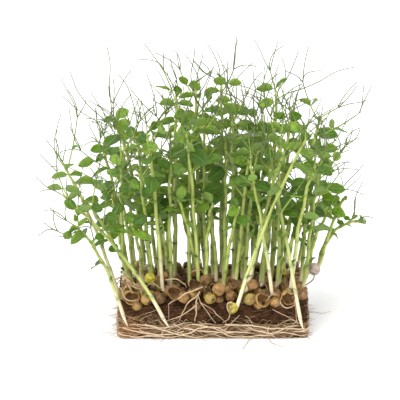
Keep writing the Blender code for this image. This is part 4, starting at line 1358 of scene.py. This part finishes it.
class PEASHOOTS_OT_root_mat(bpy.types.Operator):
    """Build the mat of roots: its felt, the threads on its wall and on the peat's, and the roots on its front
    """

    bl_idname = "peashoots.root_mat"
    bl_label = "Root mat"

    def execute(self, context):
        sizes = context.scene.pea_shoot_sizes
        random = draws("mat")
        length, depth, low, high = block_box("root_mat")
        rough = sizes.felt_roughness
        rings = {"corner": BLOCK_CORNER, "edge": 2 * MM, "around": 360, "walls": 9, "tops": 8}
        block = slab(length - 2 * rough, depth - 2 * rough, low + 0.1 * MM, high, roughness=rough, **rings)
        add_piece("mat_felt", block, [felt_finish()], "roots", "root_mat")
        count, box = sizes.wall_threads, (length, depth)
        fine = wall_threads(FINE_THREADS, count, box, (0.3 * MM, high), random)
        thick = wall_threads(THICK_THREADS, count // 7, box, (0.6 * MM, high), random)
        steep = wall_threads(STEEP_THREADS, count // 4, box, (0.3 * MM, high + 3 * MM), random)
        add_piece("mat_threads", joined([fine, thick, steep]), [thread_finish()], "roots", "root_mat")
        length, depth, low, high = block_box("peat_block")
        box = (length, depth)
        strays = wall_threads(STRAY_THREADS, sizes.peat_threads, box, (low, high - 2 * MM), random)
        fuzz = wall_threads(FUZZ_THREADS, 80, box, (low - 1 * MM, low + 2.5 * MM), random)
        corner = wall_threads(CORNER_THREADS, 70, box, (low - 1 * MM, low + 6.5 * MM), random, LEFT_CORNER)
        add_piece("peat_threads", joined([strays, fuzz, corner]), [thread_finish()], "roots", "peat_block")
        hand = [root_tube(root, 30, 8, 0.75) for root in HANGING_ROOTS]
        hand += [root_tube(root, 30, 8, 1.0) for root in MAT_ROOTS]
        add_piece("front_roots", joined(hand), [thread_finish()], "roots", "root_mat", "peat_block")
        return {"FINISHED"}


def root_tube(root, count, around, tone, finish=0):
    """A tube through a root's waypoints, thinning from its first radius to its second."""
    thick, thin, *waypoints = root
    path = smooth_path(waypoints, count)
    wobble = 0.25 * MM * np.stack([lumps(path + shift, 3 * MM) for shift in (0, 0.3, 0.7)], -1)
    wobble += 0.8 * MM * np.stack([lumps(path + shift, 7 * MM) for shift in (0.1, 0.5, 0.9)], -1)
    radii = tapered(count, thick * MM, thin * MM)[None]
    return tubes((path + wobble)[None], radii, around, finish, tone=tone)


# Hairs that fringe the mat's foot, the points along one, and how deep it starts in the mat.
FRINGE_HAIRS = 90
FRINGE_POINTS = 9
FRINGE_DIP = 0.8 * MM


class PEASHOOTS_OT_floor_roots(bpy.types.Operator):
    """Build the root hairs that lie round the block"""

    bl_idname = "peashoots.floor_roots"
    bl_label = "Roots on the floor"

    def execute(self, context):
        random = draws("floor")
        length, depth, *_ = block_box("root_mat")
        hairs = [root_tube(root, 30, 6, 0.5) for root in FLOOR_HAIRS]
        add_piece("floor_hairs", joined(hairs), [thread_finish()], "roots", "root_end_1", "root_end_2")
        count, points = FRINGE_HAIRS, FRINGE_POINTS
        t = np.linspace(0, 1, points)
        run = random.uniform(0, wall_run(length, depth, THREAD_CORNER), count)
        place, out = wall_at(run, length, depth, THREAD_CORNER)
        along = np.stack([-out[:, 1], out[:, 0]], -1)
        reach = random.uniform(2, 8, (count, 1, 1)) * MM
        sway = random.uniform(-1.2, 1.2, (count, 1, 1)) * along[:, None]
        bent = t[:, None] * out[:, None] + t[:, None] ** 1.5 * sway
        flat = place[:, None] + reach * bent - FRINGE_DIP * out[:, None]
        rise = random.uniform(0.3, 2.5, (count, 1)) * MM * (1 - t) ** 2 + 0.2 * MM
        paths = np.concatenate([flat, rise[..., None]], -1)
        radii = np.tile(tapered(points, 0.16 * MM, 0.07 * MM), (count, 1))
        fringe = tubes(paths, radii, 4, tone=random.uniform(0.2, 0.9, (count, 1)))
        add_piece("mat_fringe", fringe, [thread_finish()], "roots", "root_mat")
        return {"FINISHED"}


# Plants whose own pea shows: a greyish pink one that stands clear at the right, and a yellow one in front.
PALE_PEA = 19
YELLOW_PEA = 20
# How much wider a pea is than its solid, and the rings of a pea and the points round one.
SWOLLEN = 1.04
PEA_RINGS = (11, 18)
FRONT_RINGS = (12, 20)
FILLING_RINGS = (10, 16)


class PEASHOOTS_OT_peas(bpy.types.Operator):
    """Build the peas, the burst seed skins and the first roots that arch out of them"""

    bl_idname = "peashoots.peas"
    bl_label = "Peas"

    def execute(self, context):
        random = draws("peas")
        plants, _ = grown()
        owners = [i for i in range(1, len(plants) + 1) if i not in ROOTED]
        centres = np.array([plants[i - 1].seed for i in owners])
        radii = np.array([plants[i - 1].radius for i in owners])
        names = [f"plant_{i:02d}" for i in owners]
        tones = random.uniform(0.1, 0.85, len(owners))
        bloom = np.zeros(len(owners))
        bloom[owners.index(PALE_PEA)] = 1.0
        tones[owners.index(YELLOW_PEA)] = 0.86
        radii = SWOLLEN * radii
        radii[owners.index(YELLOW_PEA)] = 4.0 * MM
        radii[owners.index(PALE_PEA)] = 4.7 * MM
        sprouted = balls(centres, radii, *PEA_RINGS, 0.08, 0.09, random, tone=tones, bloom=bloom)
        add_piece("sprouted_peas", sprouted, [pea_finish()], "seed_skin", *names)
        loose = np.array([loose_seed_centre(*place) for place in LOOSE_SEEDS])
        chosen = np.array([place[:3] for place in FRONT_PEAS]) * MM
        count = context.scene.pea_shoot_sizes.filling_peas
        packed = fill_with_peas(np.concatenate([centres, loose, chosen]), plants, count)
        radii, tones = np.full(len(loose), SEED_RADIUS), random.uniform(0.1, 0.8, len(loose))
        spare = balls(loose, radii, *PEA_RINGS, 0.06, 0.08, random, tone=tones)
        loose_names = [f"loose_seed_{i}" for i in range(1, len(loose) + 1)]
        add_piece("loose_peas", spare, [pea_finish()], "seed_skin", *loose_names)
        radii = np.array([place[3] for place in FRONT_PEAS]) * MM
        tones = np.array([place[4] for place in FRONT_PEAS])
        front = balls(chosen, radii, *FRONT_RINGS, 0.07, 0.08, random, tone=tones)
        tones = random.uniform(0, 0.75, len(packed))
        filling = balls(packed[:, :3], packed[:, 3], *FILLING_RINGS, 0.07, 0.09, random, tone=tones)
        add_piece("filling_peas", joined([front, filling]), [pea_finish()], "seed_skin", "peat_block")
        burst = np.array(SPLIT_SKINS)
        places, radii, openings, mouths = burst[:, :3] * MM, burst[:, 3] * MM, burst[:, 4:7], burst[:, 7]
        skins = split_skins(places, radii, openings, mouths, tone=burst[:, 8])
        add_piece("burst_skins", skins, [pea_finish()], "seed_skin", "peat_block")
        arches = [root_tube(root, 26, 9, 0.5) for root in FIRST_ROOTS]
        arches.append(random_arches(np.concatenate([centres, packed[:, :3]]), random))
        add_piece("first_roots", joined(arches), [thread_finish()], "roots", "peat_block")
        return {"FINISHED"}


FILLING_TRIES = 6000


def fill_with_peas(taken, plants, count):
    """Peas thrown at random on the peat and along its edges. One is kept if it clears the peas and the
    stems before it. Returns centres and radii in rows of four."""
    random = draws("filling")
    length, depth, _, high = block_box("peat_block")
    stems = np.concatenate([bezier(plant.controls, np.linspace(0, 0.4, 60)) for plant in plants])
    stems = stems[stems[:, 2] < high + 14 * MM]
    taken = [(*place, SEED_RADIUS) for place in taken]
    kept = []
    for _ in range(FILLING_TRIES):
        if len(kept) == count:
            break
        radius = random.uniform(2.9, 4.3) * MM
        place = random.uniform(-0.5, 0.5, 2) * (length - 3 * MM, depth + 3 * MM)
        edge = np.any(np.abs(place) > np.array([length, depth]) / 2 - 2 * MM)
        lift = random.uniform(-0.8, 0.3) if edge else random.uniform(0.1, 0.9)
        spot = np.append(place, high + radius * lift)
        others = np.array(taken)
        clear = np.linalg.norm(others[:, :3] - spot, axis=1) > 0.9 * (others[:, 3] + radius)
        if clear.all() and np.linalg.norm(stems - spot, axis=1).min() > radius + 0.6 * MM:
            taken.append((*spot, radius))
            kept.append((*spot, radius))
    return np.array(kept)


def random_arches(starts, random):
    """First roots out of about a third of the peas: each a cubic curve up out of one, then down."""
    starts = starts[random.permutation(len(starts))[: len(starts) // 3]]
    count = len(starts)
    turn = random.uniform(0, 2 * math.pi, (count, 1))
    out = np.hstack([np.cos(turn), np.sin(turn), np.zeros((count, 1))])
    reach = random.uniform(6, 11, (count, 1)) * MM
    rise = random.uniform(3, 8, (count, 1)) * MM * (0, 0, 1)
    end = starts + reach * out - (0, 0, 5 * MM)
    controls = (starts + 2 * MM * out, starts + 3 * MM * out + 1.6 * rise, end + 1.2 * rise, end)
    t = np.linspace(0, 1, 14)[:, None]
    a, b, c, d = (control[:, None] for control in controls)
    paths = (1 - t) ** 3 * a + 3 * (1 - t) ** 2 * t * b + 3 * (1 - t) * t**2 * c + t**3 * d
    radii = random.uniform(0.3, 0.55, (count, 1)) * MM * (1 - 0.35 * t[:, 0])
    return tubes(paths, radii, 8, tone=random.uniform(0.1, 0.7, (count, 1)))


STEM, LEAF, TENDRIL = 0, 1, 2
# A stem's colours run up it over a length from the first span if it stands in front of PALE_FRONT, and
# else over one from the second. The cream foot is the stems' own colour; that the stems behind turn green
# sooner is painted shade, for the shade among the crowd of shoots.
PALE_FRONT = -30 * MM
PALE_FOOTS = ((90 * MM, 180 * MM), (12 * MM, 44 * MM))
BRACT_SHARES = (0.17, 0.34)
# Points along a stem and round it, how far it swells at a joint and over what length, and how far it bows.
STEM_POINTS = 52
STEM_AROUND = 12
JOINT_SWELL = 0.22
JOINT_LENGTH = 1.5 * MM
STEM_BOW = 0.7


def stem_skin(plant, random, rooted):
    """A ridged stem. The radius falls from foot to tip and swells at each node; between two nodes the stem
    bows a little to one side."""
    t = np.linspace(0, 1, STEM_POINTS)
    path = bezier(plant.controls, t)
    run = np.linalg.norm(plant.controls[3] - plant.controls[0])
    joints = np.array((*BRACT_SHARES, *NODE_SHARES))
    near = np.exp(-(((t[:, None] - joints) * run / JOINT_LENGTH) ** 2)).sum(axis=1)
    radii = (STEM_FOOT_RADIUS + (STEM_TIP_RADIUS - STEM_FOOT_RADIUS) * t) * (1 + JOINT_SWELL * near)
    middles = (joints[1:] + joints[:-1]) / 2
    bows = np.interp(t, (0, *middles, 1), (0, *(STEM_BOW * (-1) ** np.arange(len(middles))), 0))
    path = path + bows[:, None] * MM * heading(plant.spin + math.pi / 2, 0)
    # Painted shade: a stem behind PALE_FRONT turns from cream to green over a shorter rise.
    pale = random.uniform(*PALE_FOOTS[0 if plant.seed[1] < PALE_FRONT else 1])
    rise = np.clip((path[:, 2] - path[0, 2]) / pale, 0, 1)
    if not rooted:
        path = np.vstack([plant.seed + 0.5 * (path[0] - plant.seed), path])
        radii = np.append(radii[0], radii)
        rise = np.append(0, rise)
        near = np.append(0, near)
    marks = {"rise": rise, "tone": random.uniform(0, 1), "joint": near}
    return tubes(path[None], radii[None], STEM_AROUND, STEM, ridge=0.06, **marks)


# Second shoots stand behind SIDE_FRONT and reach SIDE_HEIGHTS above their peas. The share of the stem and
# the length of each of their leaf pairs.
SIDE_FRONT = -30 * MM
SIDE_HEIGHTS = (46 * MM, 84 * MM)
SIDE_TRIES = 60
SIDE_LEAVES = ((0.69, 10 * MM), (0.84, 12 * MM), (0.965, 10 * MM))


def side_shoots(room, plants):
    """A second, shorter shoot out of each pea, where it finds room, with leaf pairs of its own.

    Returns the shoots by their plants' numbers. All stems grow before the first leaf.
    """
    random = draws("side")
    found = {}
    for owner, plant in enumerate(plants, 1):
        for _ in range(SIDE_TRIES if plant.seed[1] > SIDE_FRONT else 0):
            azimuth = random.uniform(0, 2 * math.pi)
            foot = plant.seed + plant.radius * heading(azimuth, 0.6)
            stray = np.append(random.uniform(-14, 14, 2) * MM, random.uniform(*SIDE_HEIGHTS))
            controls = stem_controls(foot, plant.seed * (1.35, 1.2, 1) + stray, random.uniform(0.1, 0.7))
            samples = tube_samples(bezier(controls, np.linspace(0, 1, 110)), STEM_TIP_RADIUS)
            if room.is_free(samples, owner, foot):
                room.claim(samples, owner)
                found[owner] = Plant(plant.seed, plant.radius, controls, azimuth, [[]], [])
                break
    for number, (share, length) in enumerate(SIDE_LEAVES):
        for owner, side in found.items():
            centre, up = stem_at(side.controls, share)
            azimuth = side.spin + number * math.pi + random.uniform(-SPIN_STRAY, SPIN_STRAY)
            pair = grow_pair(room, owner, centre, up, STEM_TIP_RADIUS, azimuth, length, random)
            side.leaves[0].extend(pair)
    return found


TAPROOT_POINTS = 16


def taproot_skin(plant):
    """The white foot of a stem with no pea: it runs on from the stem, thinner and thinner, into the mat."""
    ahead = unit(plant.controls[1] - plant.controls[0])
    t = np.linspace(0, 1, TAPROOT_POINTS)[:, None]
    path = plant.controls[0] + (1 - 8.2 * t) * MM * ahead + t**2 * np.array([1.0, 1.4, -0.6]) * MM
    radii = tapered(TAPROOT_POINTS, 1.22 * MM, 0.25 * MM, 1.3)[None]
    return tubes(path[None], radii, STEM_AROUND, STEM, ridge=0.03, rise=0.0, tone=0.1)


def bracts(plant, random):
    """The small scale leaves pressed to the bare lower stem, one at each of its two lowest nodes."""
    leaves = []
    for number, share in enumerate(BRACT_SHARES):
        centre, up = stem_at(plant.controls, share)
        out = square_to(heading(plant.spin + math.pi * number + random.uniform(-0.8, 0.8), 0), up)
        along = unit(up + random.uniform(0.5, 1.1) * out)
        across = unit(np.cross(up, out))
        foot = centre + 0.8 * MM * out
        leaves.append(Leaf(foot, along, across, np.cross(along, across), random.uniform(3.6, 5.6) * MM))
    return leaves


def tip_bud(room, owner, plant, random):
    """Folded young leaves round the stem's tip, those that find room."""
    tip, before = plant.controls[3], bezier(plant.controls, [0.97])[0]
    up = unit(tip - before)
    turn = random.uniform(0, 2 * math.pi)
    leaves = []
    for number in range(3):
        azimuth = turn + number * 2.2
        out = heading(azimuth, 0)
        along = unit(up + random.uniform(0.25, 0.7) * out)
        across = unit(np.cross(along, out))
        length = random.uniform(4.5, 7.5) * MM
        leaf = Leaf(tip - 0.3 * MM * up, along, across, np.cross(along, across), length)
        if room.is_free(blade_samples(leaf), owner, leaf.foot):
            leaves.append(leaf)
    return leaves


# The turn from one arm of a fork to the next, and the share of the arms that carry a twig.
ARM_TURN = 2.1
TWIG_SHARE = 0.25


def more_arms(room, owner, tendril, random):
    """Further arms at a tendril's fork, and a few twigs along its arms, where there is room."""
    turn = random.uniform(0, 2 * math.pi)
    arms = [grow_arm(room, owner, tendril.stalk, turn + ARM_TURN * i, random) for i in range(2)]
    arms = [arm for arm in arms if arm is not None]
    twigs = []
    for arm in [*tendril.arms, *arms]:
        if random.uniform() < 1 - TWIG_SHARE:
            continue
        start = int(ARM_POINTS * random.uniform(0.25, 0.6))
        ahead = unit(arm[start + 2] - arm[start])
        way = unit(ahead + 0.8 * unit(random.normal(size=3)))
        bend, length = random.uniform(-0.5, 0.5, 3), random.uniform(5, 12) * MM
        twig = twig_points(arm[start], way, bend, length, ARM_POINTS)
        if room.is_free(twig, owner, twig[0]):
            twigs.append(twig)
    return arms, twigs


def top_tendril(room, owner, plant, random):
    """One more forked tendril, out of the stem's own tip, if there is room for its stalk."""
    tip, before = plant.controls[3], bezier(plant.controls, [0.97])[0]
    for _ in range(ARM_TRIES):
        ahead = unit(unit(tip - before) + 0.6 * random.normal(size=3) * (1, 1, 0.3))
        bend = random.uniform(-0.6, 0.6, 3)
        stalk = twig_points(tip, ahead, bend, random.uniform(7, 15) * MM, STALK_POINTS)
        if room.is_free(tube_samples(stalk, ARM_RADIUS), owner, tip):
            room.claim(stalk, owner)
            turn = random.uniform(0, 2 * math.pi)
            arms = [grow_arm(room, owner, stalk, turn + ARM_TURN * i, random) for i in range(3)]
            return [Tendril(None, stalk, [], [arm for arm in arms if arm is not None])]
    return []


def curled(paths, random):
    """Arms bent into arcs: each is pushed aside by the square of the way along it, and sways a little."""
    ahead = paths[:, -1] - paths[:, 0]
    side = np.cross(ahead, random.normal(size=ahead.shape))
    side /= length_of(side)
    t = np.linspace(0, 1, paths.shape[1])[:, None]
    arc = random.uniform(0.08, 0.6, (len(paths), 1, 1)) * length_of(ahead)[:, None]
    sway = random.uniform(-0.9, 0.9, (len(paths), 1, 1)) * MM
    return paths + (arc * (t**2 - 0.25 * t) + sway * np.sin(2 * math.pi * t) * t) * side[:, None]


# Where a tendril forks, as a share of the way along its colours, and the points along a long one.
FORK_SHADE = 0.45
LONG_POINTS = 26


def tendril_skins(room, owner, plant, radius, random):
    """A plant's tendrils as tubes: stalks that thin to the fork, then arms and twigs that thin to a point."""
    stalks, arms, twigs = [], [], []
    for tendril in [*plant.tendrils, *top_tendril(room, owner, plant, random)]:
        more, twiggy = more_arms(room, owner, tendril, random)
        stalks.append(tendril.stalk)
        arms.extend([*tendril.arms, *more])
        twigs.extend(twiggy)
    skins = []
    if stalks:
        paths = np.array(stalks)[:, :: STALK_POINTS // 12]
        root = 2 * paths[:, :1] - paths[:, 1:2]
        paths = np.concatenate([paths[:, :1] + 0.4 * (root - paths[:, :1]), paths], axis=1)
        count = paths.shape[1]
        radii = np.tile(tapered(count, 0.55 * MM, 0.38 * MM), (len(paths), 1))
        skins.append(tubes(paths, radii, 8, TENDRIL, along=np.linspace(0, FORK_SHADE, count)))
    for group, thick, thin in ((arms, radius, 0.7 * radius), (twigs, 0.8 * radius, 0.6 * radius)):
        if group:
            paths = curled(np.array(group)[:, ::4], random)
            count = paths.shape[1]
            radii = np.tile(tapered(count, thick, thin), (len(paths), 1))
            skins.append(tubes(paths, radii, 5, TENDRIL, along=np.linspace(FORK_SHADE, 1, count)))
    for number, thick, *waypoints in LONG_TENDRILS:
        if number == owner:
            count = LONG_POINTS
            radii = tapered(count, 1.1 * thick * MM, 0.3 * MM)[None]
            path = smooth_path(waypoints, count)[None]
            skins.append(tubes(path, radii, 7, TENDRIL, along=np.linspace(0.2, 1, count)))
    return skins


class PEASHOOTS_OT_shoots(bpy.types.Operator):
    """Build the shoots: stems, scale leaves, leaf pairs, leaflets, tendrils and tip buds"""

    bl_idname = "peashoots.shoots"
    bl_label = "Shoots"

    def execute(self, context):
        sizes = context.scene.pea_shoot_sizes
        plants, room = grown()
        finishes = [stem_finish(), leaf_finish(), tendril_finish()]
        sides = side_shoots(room, plants)
        for owner, plant in enumerate(plants, 1):
            random = np.random.default_rng(SKIN_START + owner)
            skins = [stem_skin(plant, random, owner in ROOTED)]
            if owner in ROOTED:
                skins.append(taproot_skin(plant))
            skins.extend(tendril_skins(room, owner, plant, sizes.arm_radius, random))
            broad = [leaf for pair in plant.leaves for leaf in pair]
            broad += [leaf for tendril in plant.tendrils for leaf in tendril.leaflets]
            if owner in sides:
                skins.append(stem_skin(sides[owner], random, True))
                broad += sides[owner].leaves[0]
            broad = [leaf._replace(length=sizes.leaf_fullness * leaf.length) for leaf in broad]
            if broad:
                skins.append(blades(broad, sizes.leaf_fold, sizes.leaf_thickness, LEAF, random))
            skins.append(blades(bracts(plant, random), 0.5, 0.3 * MM, LEAF, random, wave=0.0, tone=0.0))
            buds = tip_bud(room, owner, plant, random)
            if buds:
                skins.append(blades(buds, 1.0, 0.3 * MM, LEAF, random, wave=0.1 * MM, tone=0.75))
            add_piece(f"shoot_{owner:02d}", joined(skins), finishes, "greens", f"plant_{owner:02d}")
        return {"FINISHED"}


# ---------------------------------------------------------------- the stage

LOOK_AT = (-8.8 * MM, 0.0, 85.6 * MM)
CAMERA_DISTANCE = 3.0
CAMERA_PITCH = math.radians(14.4)
VIEW_WIDTH = 0.274
SENSOR = 36.0
FAR = 50
FLOOR_REACH = 12.0
SKY = 1.0
LAMPS_AT = (0, 0, 0.08)
# Broad lamps: the direction each comes from, the angle that it fills in degrees, and its strength.
LAMPS = (
    ("key", (-0.6, -1.0, 1.5), 45, 2.9),
    ("back", (0.5, 0.9, 1.2), 60, 0.6),
)


class PEASHOOTS_OT_stage(bpy.types.Operator):
    """Set the floor, the lights and the camera"""

    bl_idname = "peashoots.stage"
    bl_label = "Stage"

    def execute(self, context):
        scene = context.scene
        corners = np.array([(-1, -1), (1, -1), (1, 1), (-1, 1)]) * FLOOR_REACH
        mesh = bpy.data.meshes.new("floor")
        mesh.from_pydata([(x, y, 0) for x, y in corners], [], [(0, 1, 2, 3)])
        mesh.materials.append(floor_finish())
        floor = bpy.data.objects.new("floor", mesh)
        scene.collection.objects.link(floor)

        world = bpy.data.worlds.new("studio")
        scene.world = world
        world.use_nodes = True
        sky = world.node_tree.nodes["Background"]
        sky.inputs["Color"].default_value = (1, 1, 1, 1)
        sky.inputs["Strength"].default_value = SKY
        for name, place, angle, power in LAMPS:
            lamp = bpy.data.lights.new(name, "SUN")
            lamp.angle = math.radians(angle)
            lamp.energy = power
            holder = bpy.data.objects.new(name, lamp)
            holder.location = place
            holder.rotation_euler = aimed(place, LAMPS_AT)
            scene.collection.objects.link(holder)

        lens = bpy.data.cameras.new("camera")
        lens.sensor_width = SENSOR
        lens.lens = SENSOR * CAMERA_DISTANCE / VIEW_WIDTH
        lens.clip_end = FAR
        camera = bpy.data.objects.new("camera", lens)
        back = np.array([0, -math.cos(CAMERA_PITCH), math.sin(CAMERA_PITCH)])
        place = np.array(LOOK_AT) + CAMERA_DISTANCE * back
        camera.location = place
        camera.rotation_euler = aimed(place, LOOK_AT)
        scene.collection.objects.link(camera)
        scene.camera = camera
        scene.view_settings.view_transform = "Standard"
        return {"FINISHED"}


def aimed(place, at):
    """The turn that makes a lamp or a camera at a place look at a point."""
    return (Vector(at) - Vector(place)).to_track_quat("-Z", "Y").to_euler()


STEPS = (
    PEASHOOTS_OT_stage,
    PEASHOOTS_OT_peat,
    PEASHOOTS_OT_root_mat,
    PEASHOOTS_OT_floor_roots,
    PEASHOOTS_OT_peas,
    PEASHOOTS_OT_shoots,
)


class PEASHOOTS_PT_panel(bpy.types.Panel):
    """Sizes, colours and the buttons that build each piece"""

    bl_idname = "PEASHOOTS_PT_panel"
    bl_label = "Pea shoots"
    bl_space_type = "VIEW_3D"
    bl_region_type = "UI"
    bl_category = "Pea shoots"

    def draw(self, context):
        for step in STEPS:
            self.layout.operator(step.bl_idname)
        for group in (context.scene.pea_shoot_sizes, context.scene.pea_shoot_colours):
            box = self.layout.box()
            for name in group.__annotations__:
                box.prop(group, name)


CLASSES = (PeaShootSizes, PeaShootColours, *STEPS, PEASHOOTS_PT_panel)


def register():
    for made in CLASSES:
        bpy.utils.register_class(made)
    bpy.types.Scene.pea_shoot_sizes = bpy.props.PointerProperty(type=PeaShootSizes)
    bpy.types.Scene.pea_shoot_colours = bpy.props.PointerProperty(type=PeaShootColours)


def unregister():
    del bpy.types.Scene.pea_shoot_colours
    del bpy.types.Scene.pea_shoot_sizes
    for made in reversed(CLASSES):
        bpy.utils.unregister_class(made)


def main():
    register()
    for step in STEPS:
        group, name = step.bl_idname.split(".")
        getattr(getattr(bpy.ops, group), name)()


if __name__ == "__main__":
    main()
